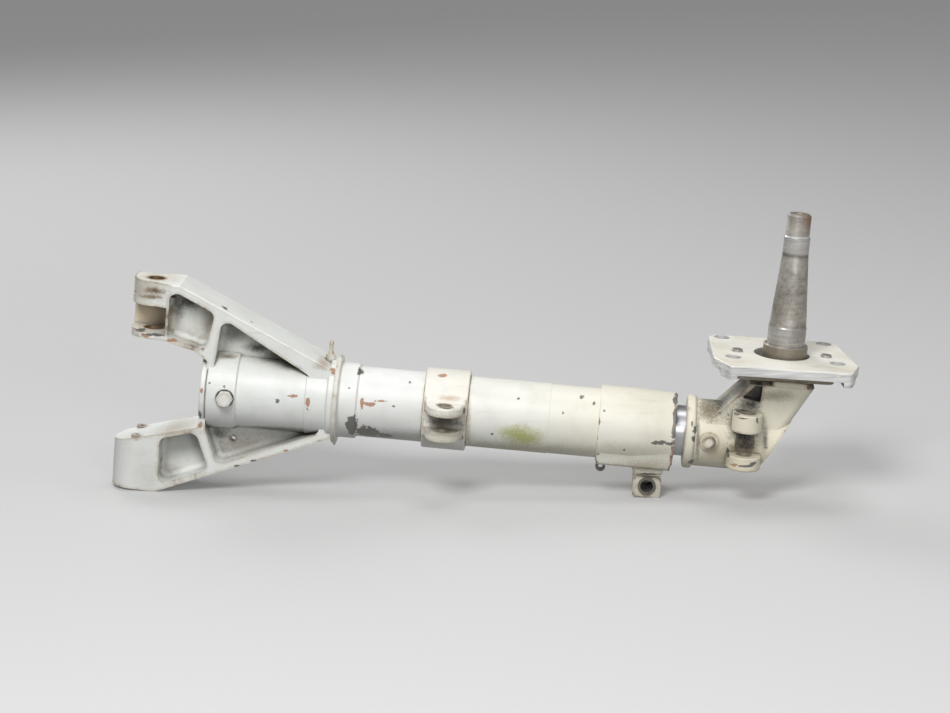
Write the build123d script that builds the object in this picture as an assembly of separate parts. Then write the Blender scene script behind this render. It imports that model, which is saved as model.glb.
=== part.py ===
from build123d import *
import math
import os

os.makedirs("parts", exist_ok=True)

# A main landing gear leg of a light twin, taken off and lying on its side:
# a forked trunnion housing, an air-oil shock strut, and a cast axle fitting with its brake plate.
# Every piece is drawn in the leg's own frame and laid down at the end. In that frame X runs along
# the strut from the trunnion line to the wheel end, Z along the trunnion line and the axle, and
# Y points away from the side that shows the brace lugs. All sizes are in millimetres.

# Clearances
RUNNING_FIT = 0.06
SEAT_FIT = 0.04
END_GAP = 0.3
THROUGH = 60.0

# Trunnion housing: the fork arm above, the foot arm below, and the barrel between them
ARM_HALF_DEPTH = 28.0
ARM_WEB = 7.0
ARM_WALL = 8.0
INNER_WALL = 4.5
RIB_WALL = 7.0
EDGE_ROUND = 2.0
POCKET_ROUND = 8.0
POCKET_FLOOR_ROUND = 5.0
POCKET_END_X = 176.0
FORK_POCKET_END_X = 164.0
FORK_POCKET_END_WALL = 17.0
ARM_ANGLE = 24.5

FORK_RADIUS = 22.0
FORK_TOP = 108.0
FORK_SHOULDER_X = 28.0
FORK_GAP_TOP = 83.5
FORK_GAP_BOTTOM = 57.0
FORK_BOTTOM = 49.5
FORK_WALL_X = 15.0
FORK_KNEE_X = 45.0
FORK_KNEE_Z = 43.0
FORK_HEEL_X = 59.0
FORK_HEEL_Z = 34.0
FORK_RIB_X = 56.5
FORK_RIB_LEAN = 8.0
FORK_BACK_WALL = 14.0
FORK_LIP = 8.0
FORK_LIP_STEP = 1.8
FORK_BORE = 15.9
FORK_BUSH_WALL = 2.5

FOOT_RADIUS = 25.0
FOOT_BOSS_SHIFT = 8.0
FOOT_WALL_X = 16.0
FOOT_RIB_X = 52.0
FOOT_RIB_LEAN = 16.0
FOOT_BOTTOM = 107.0
FOOT_TOP = 57.3
FOOT_TOP_ANGLE = 15.2
FOOT_EDGE_X = 14.0
FOOT_WALL = 5.5
FOOT_ANGLE = 22.6
FOOT_BORE = 22.0
FOOT_BORE_DEPTH = 36.0
FOOT_BUSH_WALL = 3.0
FOOT_STUD_SPACING = 36.0
FOOT_STUD_X = -8.0
FOOT_STUD_RADIUS = 6.0
FOOT_STUD_HEIGHT = 1.6
FOOT_STUD_HOLE = 4.4
WEB_HOLE = 5.0
WEB_HOLE_X = 88.0
WEB_HOLE_Z = -50.5

BARREL_START = 54.0
BARREL_END = 188.0
BARREL_RADIUS = 37.0
BAND_RADIUS = 39.5
RIM_RADIUS = 38.5
RIM_LENGTH = 6.5
RIM_GROOVE = 1.2
BAND_END = 90.0
END_BAND_START = 160.0
END_BAND_RADIUS = 38.2
END_RIM_START = 183.0
END_RIM_RADIUS = 41.0

# Cylinder and the ring that locks it in the housing
TUBE_RADIUS = 35.5
TUBE_BORE = 31.0
TUBE_START = 62.0
TUBE_END = 527.0
TUBE_STEP_X = 405.0
TUBE_STEP = 0.4
SLEEVE_LENGTH = 20.0
SLEEVE_RADIUS = 38.0
LOCK_RING_WIDTH = 5.0
LOCK_RING_RADIUS = 44.5
LOCK_TAB_WIDTH = 7.0
LOCK_TAB_HEIGHT = 3.5

# Cylinder head, its cross bolt and the filler valve
HEAD_START = 68.0
HEAD_THICKNESS = 30.0
HEAD_SOCKET = 8.0
HEAD_SEAL = 3.0
HEAD_BOLT_X = 80.5
HEAD_BOLT = 9.5
HEAD_BOLT_HEX = 15.0
HEAD_BOLT_HEAD = 6.0
HEAD_NUT_HEIGHT = 8.0
HEAD_SEAT = 18.0
HEAD_WASHER = 1.6
VALVE_HEX = 19.0
VALVE_HEX_HEIGHT = 4.0
VALVE_STEM = 9.0
VALVE_LENGTH = 12.0
VALVE_THREAD = 5.0
VALVE_CAP_RADIUS = 6.5
VALVE_CAP_HEIGHT = 6.5

# Grease fittings
GREASE_X = 180.5
GREASE_SEAT = 46.0
GREASE_BOSS = 5.0
GREASE_HEIGHT = 13.0
GREASE_NECK = 2.2
GREASE_HEAD = 3.0

# Side brace fitting
BRACE_START = 279.0
BRACE_WIDTH = 44.0
BRACE_RADIUS = 40.5
BRACE_EAR_INNER = 8.8
BRACE_EAR_OUTER = 17.5
BRACE_PIN_Y = -55.5
BRACE_EAR_RADIUS = 17.0
BRACE_BORE = 12.7
BRACE_BUSH_WALL = 1.8

# Lower collar with the torque link lug
COLLAR_START = 455.0
COLLAR_END = 532.0
COLLAR_RADIUS = 39.0
COLLAR_END_RADIUS = 37.5
SADDLE_ANGLE = 20.0
SADDLE_Z = 37.0
LUG_X = 509.0
LUG_WIDTH = 28.0
LUG_PIN_Z = 54.0
LUG_BOTTOM = 65.5
LUG_HALF_DEPTH = 26.0
LUG_NECK_HALF_DEPTH = 20.0
LUG_SHOULDER = 45.0
LUG_BORE = 12.7
LUG_BUSH_WALL = 2.0
LUG_BUSH_FLANGE = 18.0
LUG_BUSH_FLANGE_THICKNESS = 1.2
CORNER_ROUND = 3.0
CLIP_X = 461.0
CLIP_RADIUS = 5.0
CLIP_HOLE = 5.0
CLIP_WIDTH = 6.0
CLIP_Y = -6.0

# Lower end of the cylinder: bearing, seals, scraper and snap ring
BEARING_START = 462.0
BEARING_LENGTH = 36.0
SEAL_RADIUS = 2.2
SEAL_PITCH = 7.0
GLAND_LENGTH = 20.0
SNAP_RING_WIDTH = 2.4
SNAP_RING_DEPTH = 1.6

# Piston and what works inside it
PISTON_RADIUS = 25.4
PISTON_BORE = 21.0
PISTON_START = 245.0
PISTON_END = 600.0
PISTON_SEAT_RADIUS = 24.0
PISTON_BEARING_X = 252.0
PISTON_BEARING_LENGTH = 26.0
PISTON_PLUG_LENGTH = 22.0
ORIFICE_TUBE_RADIUS = 15.0
ORIFICE_TUBE_WALL = 2.0
ORIFICE_TUBE_END = 442.0
ORIFICE_PLATE = 6.0
ORIFICE_RADIUS = 5.2
PIN_TIP_X = 262.0
PIN_ROOT_RADIUS = 4.4
PIN_TIP_RADIUS = 3.0

# Axle fitting
AXLE_X = 634.0
FITTING_START = 542.0
BEAD_WIDTH = 10.0
BEAD_RADIUS = 37.0
FITTING_RADIUS = 34.0
FITTING_ANGLE = 61.0
FITTING_HEEL_X = 613.0
FITTING_HALF_DEPTH = 29.5
FITTING_ARM_Z = -14.0
RIDGE_X = 553.5
RIDGE_Z = 8.0
RIDGE_TOP_X = 599.0
PAD_Z = 61.0
PAD_WIDTH = 34.0
PAD_X = 640.5
PAD_HEIGHT = 5.0
SIDE_POCKET_DEPTH = 14.0
SIDE_POCKET_RIM = 5.0
SIDE_POCKET_END_X = 614.0
SIDE_POCKET_BOTTOM = 43.5
FORK_BOLT_X = 566.0
FORK_BOLT = 9.5
FORK_BOLT_BOSS = 9.5
FORK_BOLT_BOSS_Y = 36.0
FORK_BOLT_HEAD = 6.8
FORK_BOLT_HEAD_HEIGHT = 4.0
TORQUE_EAR_X = 601.5
TORQUE_EAR_Y = -40.0
UPPER_EAR_LOW = 15.5
UPPER_EAR_HIGH = 34.0
UPPER_EAR_RADIUS = 15.0
LOWER_EAR_LOW = -22.5
LOWER_EAR_HIGH = -8.5
LOWER_EAR_RADIUS = 17.0
TORQUE_LINK_ROOM = 11.5
TORQUE_EAR_BORE = 12.7
TORQUE_BUSH_WALL = 1.8

# Axle spindle and brake plate
AXLE_FLANGE_LENGTH = 104.0
AXLE_FLANGE_DEPTH = 56.0
AXLE_SHOULDER_RADIUS = 22.25
AXLE_SHOULDER_TOP = 99.0
AXLE_SEAT = 38.1
AXLE_SEAT_TOP = 117.0
AXLE_OUTER_SEAT = 26.0
AXLE_TAPER_TOP = 190.0
AXLE_OUTER_SEAT_TOP = 209.0
AXLE_THREAD = 23.6
AXLE_TOP = 231.5
AXLE_BORE = 12.0
AXLE_SHANK = 28.0
AXLE_SHANK_BOTTOM = 34.0
AXLE_CROSS_PIN = 8.0
AXLE_CROSS_PIN_Z = 47.0
PLATE_TOP = 88.0
PLATE_THICKNESS = 9.5
PLATE_TURN = 6.0
PLATE_SHIFT = 3.0
PLATE_BACK_Y = 68.5
PLATE_BACK_LENGTH = 122.0
PLATE_SHOULDER_Y = 57.0
PLATE_SHOULDER_LENGTH = 133.0
PLATE_BELLY_Y = -32.0
PLATE_BELLY_LENGTH = 146.0
PLATE_FRONT_Y = -66.5
PLATE_FRONT_LENGTH = 122.0
PLATE_CORNER_ROUND = 5.0
PLATE_FOOT = 5.0
PLATE_FOOT_SIZE = 20.0
PLATE_BORE = 56.0
PLATE_HOLE = 15.9
PLATE_HOLE_LENGTH = 105.0
PLATE_HOLE_DEPTH = 84.0
PLATE_HOLE_Y = 16.0
PLATE_BOLT = 7.9
PLATE_BOLT_HEAD = 5.6
PLATE_BOLT_HEAD_HEIGHT = 2.4
PLATE_BOLT_X = 45.0
PLATE_BACK_BOLT_Y = 41.0
PLATE_BOLT_BOSS = 12.0


def rod(start, end, radius):
    """A round bar along the strut."""
    return Pos((start + end) / 2, 0, 0) * Rot(0, 90, 0) * Cylinder(radius, end - start)


def ring(start, end, outer, inner):
    """A round tube along the strut."""
    return rod(start, end, outer) - rod(start - 1, end + 1, inner)


def upright(x, y, low, high, radius):
    """A round bar along the trunnion line."""
    return Pos(x, y, (low + high) / 2) * Cylinder(radius, high - low)


def upright_ring(x, y, low, high, outer, inner):
    return upright(x, y, low, high, outer) - upright(x, y, low - 1, high + 1, inner)


def crosswise(x, z, near, far, radius):
    """A round bar across the leg, from near to far along Y."""
    return Pos(x, (near + far) / 2, z) * Rot(90, 0, 0) * Cylinder(radius, far - near)


def crosswise_ring(x, z, near, far, outer, inner):
    return crosswise(x, z, near, far, outer) - crosswise(x, z, near - 1, far + 1, inner)


def side_outline(points, rounding=0.0):
    """A closed outline in the side view, with all its corners rounded alike."""
    outline = make_face(Polyline(*points, close=True))
    if rounding:
        outline = fillet(outline.vertices(), rounding)
    return outline


def side_slab(outline, near, far):
    """A side-view outline given its depth, from near to far along Y."""
    return extrude(Plane.XZ.offset(-far) * outline, far - near)


def turned(points):
    """A solid of revolution about the strut's axis, from (x, radius) points."""
    return revolve(Plane.XZ * make_face(Polyline(*points, close=True)), Axis.X)


def turned_upright(points, x):
    """A solid of revolution about a line along Z, from (radius, z) points."""
    profile = Plane.XZ * make_face(Polyline(*points, close=True))
    return Pos(x, 0, 0) * revolve(profile, Axis.Z)


def hexagon_bar(across_flats, height):
    return extrude(RegularPolygon(across_flats / 2, 6, major_radius=False), height)


def fork_outer_z(x, offset=0.0):
    """Height of the fork arm's sloping outer face, or of a line parallel to it inside."""
    slope = math.tan(math.radians(ARM_ANGLE))
    drop = offset / math.cos(math.radians(ARM_ANGLE))
    return FORK_TOP - slope * (x - FORK_SHOULDER_X) - drop


def foot_outer_z(x, offset=0.0):
    """Height of the foot arm's sloping outer face, or of a line parallel to it inside."""
    slope = math.tan(math.radians(FOOT_ANGLE))
    rise = offset / math.cos(math.radians(FOOT_ANGLE))
    return -FOOT_BOTTOM + slope * (x - FOOT_EDGE_X) + rise


def foot_inner_z(x, offset=0.0):
    slope = math.tan(math.radians(FOOT_TOP_ANGLE))
    return -FOOT_TOP + slope * (x + FOOT_RADIUS) - offset


def arm_plan(radius, shift):
    """The arm seen along the trunnion line: round at its end, widening to its full depth."""
    outline = make_face(
        Polyline(
            (-shift, -radius),
            (radius, -ARM_HALF_DEPTH),
            (BARREL_END, -ARM_HALF_DEPTH),
            (BARREL_END, ARM_HALF_DEPTH),
            (radius, ARM_HALF_DEPTH),
            (-shift, radius),
            close=True,
        )
    )
    return outline + Pos(-shift, 0) * Circle(radius)


def pockets_both_sides(outline):
    """A pocket with a rounded floor, cut from the front and from the back down to the web."""
    front = side_slab(outline, -ARM_HALF_DEPTH - 1, -ARM_WEB / 2)
    front = fillet(front.faces().sort_by(Axis.Y)[-1].edges(), POCKET_FLOOR_ROUND)
    return front + mirror(front, Plane.XZ)


def fork_arm():
    outline = side_outline(
        [
            (-FORK_RADIUS, FORK_TOP),
            (FORK_SHOULDER_X, FORK_TOP),
            (BARREL_END, fork_outer_z(BARREL_END)),
            (BARREL_END, 0),
            (FORK_HEEL_X, 0),
            (FORK_HEEL_X, FORK_HEEL_Z),
            (FORK_KNEE_X, FORK_KNEE_Z),
            (FORK_WALL_X, FORK_BOTTOM),
            (-FORK_RADIUS, FORK_BOTTOM),
        ]
    )
    arm = side_slab(outline, -ARM_HALF_DEPTH, ARM_HALF_DEPTH)
    plan = arm_plan(FORK_RADIUS - FORK_LIP_STEP, 0)
    plan += Pos(0, FORK_RADIUS / 2) * Rectangle(2 * FORK_RADIUS, FORK_RADIUS)
    arm = arm & extrude(plan, FORK_TOP)
    arm = fork_arm_edges(arm)
    near_rib = FORK_RIB_X
    far_rib = near_rib + RIB_WALL
    lean = FORK_RIB_LEAN
    first = side_outline(
        [
            (FORK_WALL_X + 2.5, fork_outer_z(FORK_WALL_X + 2.5, ARM_WALL)),
            (near_rib + lean, fork_outer_z(near_rib + lean, ARM_WALL)),
            (near_rib, FORK_BOTTOM - 6),
            (FORK_WALL_X + 2.5, FORK_BOTTOM + INNER_WALL),
        ],
        POCKET_ROUND,
    )
    second = side_outline(
        [
            (far_rib + lean, fork_outer_z(far_rib + lean, ARM_WALL)),
            (FORK_POCKET_END_X, fork_outer_z(FORK_POCKET_END_X, FORK_POCKET_END_WALL)),
            (FORK_POCKET_END_X, 0),
            (far_rib, 0),
        ],
        POCKET_ROUND,
    )
    arm -= pockets_both_sides(first) + pockets_both_sides(second)
    for low in (FORK_BOTTOM, FORK_GAP_TOP):
        arm += upright(0, 0, low, low + FORK_LIP, FORK_RADIUS)
    gap_height = FORK_GAP_TOP - FORK_GAP_BOTTOM
    gap = Pos(
        FORK_WALL_X - 50, FORK_BACK_WALL - 50, (FORK_GAP_TOP + FORK_GAP_BOTTOM) / 2
    ) * Box(100, 100, gap_height)
    return arm - gap


def fork_arm_edges(arm):
    """The cast edges along the arm's front and back faces, eased."""
    faces = arm.faces().filter_by(Axis.Y)
    front = faces.sort_by(Axis.Y)[0]
    back = faces.sort_by(Axis.Y)[-1]
    edges = front.edges() + back.edges()
    sloping = [e for e in edges if abs(e.tangent_at(0.5).X) > 0.3 and e.center().Z > FORK_BOTTOM]
    return fillet(sloping, EDGE_ROUND)


def foot_arm():
    end_x = -FOOT_RADIUS - FOOT_BOSS_SHIFT
    outline = side_outline(
        [
            (end_x, -FOOT_BOTTOM),
            (FOOT_EDGE_X, -FOOT_BOTTOM),
            (BARREL_END, foot_outer_z(BARREL_END)),
            (BARREL_END, 0),
            (BARREL_START, 0),
            (BARREL_START, foot_inner_z(BARREL_START)),
            (end_x, foot_inner_z(end_x)),
        ]
    )
    arm = side_slab(outline, -ARM_HALF_DEPTH, ARM_HALF_DEPTH)
    arm = arm & extrude(arm_plan(FOOT_RADIUS, FOOT_BOSS_SHIFT), -FOOT_BOTTOM)
    wall_x = FOOT_WALL_X
    rib_top = FOOT_RIB_X
    rib_bottom = rib_top + FOOT_RIB_LEAN
    first = side_outline(
        [
            (wall_x, foot_inner_z(wall_x, INNER_WALL)),
            (rib_top, foot_inner_z(rib_top, INNER_WALL)),
            (rib_bottom, foot_outer_z(rib_bottom, FOOT_WALL)),
            (wall_x, foot_outer_z(wall_x, FOOT_WALL)),
        ],
        POCKET_ROUND,
    )
    second = side_outline(
        [
            (rib_top + RIB_WALL + 2, foot_inner_z(rib_top)),
            (rib_bottom + RIB_WALL, foot_outer_z(rib_bottom + RIB_WALL, ARM_WALL)),
            (POCKET_END_X, foot_outer_z(POCKET_END_X, ARM_WALL)),
            (POCKET_END_X, 0),
            (rib_top + RIB_WALL + 2, 0),
        ],
        POCKET_ROUND,
    )
    arm -= pockets_both_sides(first) + pockets_both_sides(second)
    stud_z = foot_inner_z(FOOT_STUD_X)
    for side in (-1, 1):
        y = side * FOOT_STUD_SPACING / 2
        arm += upright(FOOT_STUD_X, y, stud_z - 6, stud_z + FOOT_STUD_HEIGHT, FOOT_STUD_RADIUS)
    for side in (-1, 1):
        y = side * FOOT_STUD_SPACING / 2
        arm -= upright(FOOT_STUD_X, y, stud_z - 12, stud_z + 10, FOOT_STUD_HOLE / 2)
    return arm - crosswise(WEB_HOLE_X, WEB_HOLE_Z, -10, 10, WEB_HOLE / 2)


def housing_barrel():
    start, end = BARREL_START, BARREL_END
    groove_x = start + RIM_LENGTH
    profile = [
        (start, 0),
        (start, RIM_RADIUS - 1.5),
        (start + 1.5, RIM_RADIUS),
        (groove_x - RIM_GROOVE, RIM_RADIUS),
        (groove_x, RIM_RADIUS - RIM_GROOVE),
        (groove_x + RIM_GROOVE, BAND_RADIUS),
        (BAND_END, BAND_RADIUS),
        (BAND_END + 1.5, BARREL_RADIUS),
        (END_BAND_START, BARREL_RADIUS),
        (END_BAND_START + 0.8, END_BAND_RADIUS),
        (END_RIM_START - 2, END_BAND_RADIUS),
        (END_RIM_START, END_RIM_RADIUS),
        (end, END_RIM_RADIUS),
        (end, 0),
    ]
    return turned(profile)


def trunnion_housing():
    body = fork_arm() + foot_arm() + housing_barrel()
    body += upright(GREASE_X, 0, TUBE_RADIUS + 1, GREASE_SEAT, GREASE_BOSS)
    body -= rod(BARREL_START - 1, BARREL_END + 1, TUBE_RADIUS + SEAT_FIT)
    seat_y = head_seat_y()
    for side in (-1, 1):
        near, far = sorted((side * seat_y, side * (BAND_RADIUS + 10)))
        body -= crosswise(HEAD_BOLT_X, 0, near, far, HEAD_SEAT / 2 + 0.6)
    body -= crosswise(HEAD_BOLT_X, 0, -THROUGH, THROUGH, HEAD_BOLT / 2 + SEAT_FIT)
    fork_hole = FORK_BORE / 2 + FORK_BUSH_WALL + SEAT_FIT
    body -= upright(0, 0, FORK_BOTTOM - 5, FORK_TOP + 5, fork_hole)
    foot_hole = FOOT_BORE / 2 + FOOT_BUSH_WALL + SEAT_FIT
    body -= upright(0, 0, -FOOT_BOTTOM - 5, -FOOT_BOTTOM + FOOT_BORE_DEPTH, foot_hole)
    return body


def head_seat_y():
    """How far the milled flats under the head bolt stand from the strut's axis."""
    return math.sqrt(BAND_RADIUS**2 - (HEAD_SEAT / 2) ** 2)


def fork_bushes():
    inner = FORK_BORE / 2
    outer = inner + FORK_BUSH_WALL
    upper = upright_ring(0, 0, FORK_GAP_TOP, FORK_TOP, outer, inner)
    lower = upright_ring(0, 0, FORK_BOTTOM, FORK_GAP_BOTTOM, outer, inner)
    return Compound([upper.solid(), lower.solid()])


def foot_bush():
    inner = FOOT_BORE / 2
    low = -FOOT_BOTTOM
    return upright_ring(0, 0, low, low + FOOT_BORE_DEPTH, inner + FOOT_BUSH_WALL, inner)


def cylinder_tube():
    sleeve_start = BARREL_END + LOCK_RING_WIDTH
    sleeve_end = sleeve_start + SLEEVE_LENGTH
    groove_start = TUBE_END - SNAP_RING_WIDTH - 2.5
    outside = turned(
        [
            (TUBE_START, 0),
            (TUBE_START, TUBE_RADIUS - 1),
            (TUBE_START + 1, TUBE_RADIUS),
            (sleeve_start, TUBE_RADIUS),
            (sleeve_start, SLEEVE_RADIUS),
            (sleeve_end - 2, SLEEVE_RADIUS),
            (sleeve_end, TUBE_RADIUS),
            (TUBE_STEP_X, TUBE_RADIUS),
            (TUBE_STEP_X + TUBE_STEP, TUBE_RADIUS - TUBE_STEP),
            (COLLAR_START, TUBE_RADIUS - TUBE_STEP),
            (TUBE_END, TUBE_RADIUS - TUBE_STEP),
            (TUBE_END, 0),
        ]
    )
    tube = outside - rod(TUBE_START - 1, TUBE_END + 1, TUBE_BORE)
    tube -= crosswise(HEAD_BOLT_X, 0, -THROUGH, THROUGH, HEAD_BOLT / 2 + SEAT_FIT)
    snap_outer = TUBE_BORE + SNAP_RING_DEPTH + SEAT_FIT
    return tube - rod(groove_start, groove_start + SNAP_RING_WIDTH + SEAT_FIT, snap_outer)


def lock_ring():
    """The ring between the housing and the cylinder's shoulder, with its two bent tabs."""
    body = ring(BARREL_END, BARREL_END + LOCK_RING_WIDTH, LOCK_RING_RADIUS, TUBE_RADIUS + SEAT_FIT)
    body = chamfer(body.edges().filter_by(GeomType.CIRCLE).sort_by(SortBy.LENGTH)[-2:], 0.8)
    middle = BARREL_END + LOCK_RING_WIDTH / 2
    for side in (-1, 1):
        tab_z = side * (LOCK_RING_RADIUS + LOCK_TAB_HEIGHT / 2 - 0.6)
        body += Pos(middle, 0, tab_z) * Box(2.0, LOCK_TAB_WIDTH, LOCK_TAB_HEIGHT)
    return body


def head_end():
    return HEAD_START + HEAD_THICKNESS


def head_groove_start():
    return head_end() - HEAD_SOCKET


def cylinder_head():
    head = rod(HEAD_START, head_end(), TUBE_BORE - SEAT_FIT)
    groove_x = head_groove_start()
    head -= ring(groove_x, groove_x + HEAD_SEAL + 0.6, TUBE_BORE + 1, TUBE_BORE - HEAD_SEAL)
    head -= crosswise(HEAD_BOLT_X, 0, -THROUGH, THROUGH, HEAD_BOLT / 2 + SEAT_FIT)
    head -= rod(head_end() - HEAD_SOCKET, head_end() + 1, ORIFICE_TUBE_RADIUS + SEAT_FIT)
    return head - rod(HEAD_START - 1, HEAD_START + VALVE_THREAD, VALVE_STEM / 2 + SEAT_FIT)


def head_seal():
    middle = head_groove_start() + (HEAD_SEAL + 0.6) / 2
    section = HEAD_SEAL / 2
    seat = TUBE_BORE - HEAD_SEAL + section
    return Pos(middle, 0, 0) * Rot(0, 90, 0) * Torus(seat, section - SEAT_FIT)


def head_bolt():
    """The cross bolt that pins the cylinder and its head into the housing."""
    seat = head_seat_y() + HEAD_WASHER
    shank = crosswise(HEAD_BOLT_X, 0, -seat, seat + HEAD_NUT_HEIGHT + 2.5, HEAD_BOLT / 2)
    head = Pos(HEAD_BOLT_X, -seat, 0) * Rot(90, 0, 0) * hexagon_bar(HEAD_BOLT_HEX, HEAD_BOLT_HEAD)
    rounding = crosswise(
        HEAD_BOLT_X, 0, -seat - HEAD_BOLT_HEAD, -seat, HEAD_BOLT_HEX / 2 * 1.1
    )
    rounding = chamfer(rounding.faces().sort_by(Axis.Y)[0].edges(), 1.0)
    return shank + (head & rounding)


def head_bolt_washers():
    seat = head_seat_y()
    inner = HEAD_BOLT / 2 + SEAT_FIT
    near = crosswise_ring(HEAD_BOLT_X, 0, -seat - HEAD_WASHER, -seat, HEAD_SEAT / 2, inner)
    far = crosswise_ring(HEAD_BOLT_X, 0, seat, seat + HEAD_WASHER, HEAD_SEAT / 2, inner)
    return Compound([near.solid(), far.solid()])


def head_bolt_nut():
    seat = head_seat_y() + HEAD_WASHER
    nut = Pos(HEAD_BOLT_X, seat, 0) * Rot(-90, 0, 0) * hexagon_bar(HEAD_BOLT_HEX, HEAD_NUT_HEIGHT)
    return nut - crosswise(HEAD_BOLT_X, 0, seat - 1, seat + 20, HEAD_BOLT / 2 + SEAT_FIT)


def filler_valve():
    """The high-pressure air valve screwed into the cylinder head, sheltered by the tube's end."""
    hexagon = Pos(HEAD_START, 0, 0) * Rot(0, -90, 0) * hexagon_bar(VALVE_HEX, VALVE_HEX_HEIGHT)
    stem = rod(HEAD_START - VALVE_LENGTH, HEAD_START + VALVE_THREAD, VALVE_STEM / 2)
    return hexagon + stem


def valve_cap():
    start = HEAD_START - VALVE_LENGTH - 1.5
    cap = rod(start, start + VALVE_CAP_HEIGHT, VALVE_CAP_RADIUS)
    cap = chamfer(cap.faces().sort_by(Axis.X)[0].edges(), 1.0)
    stem_end = HEAD_START - VALVE_LENGTH - SEAT_FIT
    return cap - rod(stem_end, HEAD_START, VALVE_STEM / 2 + SEAT_FIT)


def grease_fitting(x, seat):
    """A lubrication nipple standing on its boss."""
    neck = GREASE_NECK
    top = seat + GREASE_HEIGHT
    return turned_upright(
        [
            (0, seat),
            (GREASE_HEAD, seat),
            (GREASE_HEAD, seat + 2),
            (neck, seat + 3),
            (neck, top - 3.5),
            (GREASE_HEAD - 0.4, top - 2.5),
            (GREASE_HEAD - 0.8, top),
            (0, top),
        ],
        x,
    )


def side_brace_fitting():
    """The band round the cylinder with the two lugs that hold the side brace."""
    start, end = BRACE_START, BRACE_START + BRACE_WIDTH
    middle = (start + end) / 2
    band = rod(start, end, BRACE_RADIUS)
    band = chamfer(band.edges().filter_by(GeomType.CIRCLE), 1.0)
    lug_y = BRACE_PIN_Y
    blend = math.sqrt(BRACE_RADIUS**2 - BRACE_EAR_OUTER**2)
    nose = Pos(middle, lug_y) * Circle(BRACE_EAR_RADIUS)
    root = Pos(middle, -blend / 2) * Rectangle(BRACE_WIDTH - 2, blend)
    lug_face = make_hull(nose.edges() + root.edges())
    lug = Pos(0, 0, -BRACE_EAR_OUTER) * extrude(lug_face, 2 * BRACE_EAR_OUTER)
    rims = lug.faces().filter_by(Axis.Z).edges()
    lug = fillet([edge for edge in rims if edge.center().Y < -1], 2.0)
    lean = make_face(
        Polyline(
            (0, BRACE_RADIUS - 1),
            (-blend - 8, BRACE_EAR_OUTER - 0.5),
            (-blend - 8, -BRACE_EAR_OUTER + 0.5),
            (0, -BRACE_RADIUS + 1),
            close=True,
        )
    )
    web = extrude(Plane.YZ.offset(start + 1.5) * lean, BRACE_WIDTH - 3)
    body = band + web + lug
    slot_height = 2 * BRACE_EAR_INNER
    slot_y = -BRACE_RADIUS - 1.5
    slot = Pos(middle, slot_y - 30, 0) * Box(BRACE_WIDTH + 2, 60, slot_height)
    slot = fillet(slot.faces().sort_by(Axis.Y)[-1].edges().filter_by(Axis.X), 4.0)
    body -= slot
    body -= rod(start - 1, end + 1, TUBE_RADIUS + SEAT_FIT)
    hole = BRACE_BORE / 2 + BRACE_BUSH_WALL + SEAT_FIT
    return body - upright(middle, lug_y, -BRACE_EAR_OUTER - 1, BRACE_EAR_OUTER + 1, hole)


def side_brace_bushes():
    middle = BRACE_START + BRACE_WIDTH / 2
    inner = BRACE_BORE / 2
    outer = inner + BRACE_BUSH_WALL
    solids = []
    for low, high in ((BRACE_EAR_INNER, BRACE_EAR_OUTER), (-BRACE_EAR_OUTER, -BRACE_EAR_INNER)):
        solids.append(upright_ring(middle, BRACE_PIN_Y, low, high, outer, inner).solid())
    return Compound(solids)


def lower_collar():
    """The collar sweated on the cylinder's end, with the lug of the upper torque link."""
    sleeve = turned(
        [
            (COLLAR_START, 0),
            (COLLAR_START, COLLAR_RADIUS - 0.8),
            (COLLAR_START + 0.8, COLLAR_RADIUS),
            (LUG_X - 20, COLLAR_RADIUS),
            (COLLAR_END - 1, COLLAR_END_RADIUS),
            (COLLAR_END, COLLAR_END_RADIUS - 1),
            (COLLAR_END, 0),
        ]
    )
    half = LUG_WIDTH / 2
    block = Pos(LUG_X, 0, -(LUG_SHOULDER + LUG_BOTTOM) / 2) * Box(
        LUG_WIDTH, 2 * LUG_HALF_DEPTH, LUG_BOTTOM - LUG_SHOULDER
    )
    block = fillet(block.edges().filter_by(Axis.Y), CORNER_ROUND)
    neck_top = COLLAR_RADIUS * 0.55
    root = Pos(LUG_X - 2, 0, -neck_top) * Rectangle(LUG_WIDTH + 14, 2 * LUG_NECK_HALF_DEPTH + 16)
    foot = Pos(LUG_X, 0, -LUG_SHOULDER - 2) * Rectangle(LUG_WIDTH - 3, 2 * LUG_NECK_HALF_DEPTH)
    neck = loft([root.face(), foot.face()])
    body = sleeve + collar_saddle() + neck + block
    bore_rest = TUBE_RADIUS - TUBE_STEP + SEAT_FIT
    body -= rod(COLLAR_START - 1, COLLAR_END + 1, bore_rest)
    hole = LUG_BORE / 2 + LUG_BUSH_WALL + SEAT_FIT
    return body - crosswise(LUG_X, -LUG_PIN_Z, -LUG_HALF_DEPTH - 1, LUG_HALF_DEPTH + 1, hole)


def collar_saddle():
    """The flat cheeks under the collar, tangent to it, that run down to the lug."""
    angle = math.radians(SADDLE_ANGLE)
    radius = COLLAR_END_RADIUS
    cheek_y, cheek_z = radius * math.cos(angle), -radius * math.sin(angle)
    foot_y = cheek_y - (SADDLE_Z + cheek_z) * math.tan(angle)
    half = [(cheek_y, cheek_z), (foot_y, -SADDLE_Z)]
    other = [(-y, z) for y, z in reversed(half)]
    outline = make_face(Polyline(*half, *other, close=True))
    cheeks = extrude(Plane.YZ.offset(COLLAR_START + 1) * outline, COLLAR_END - COLLAR_START - 3)
    lower = [e for e in cheeks.edges().filter_by(Axis.X) if e.center().Z < -SADDLE_Z + 1]
    return fillet(lower, 2 * CORNER_ROUND)


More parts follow.
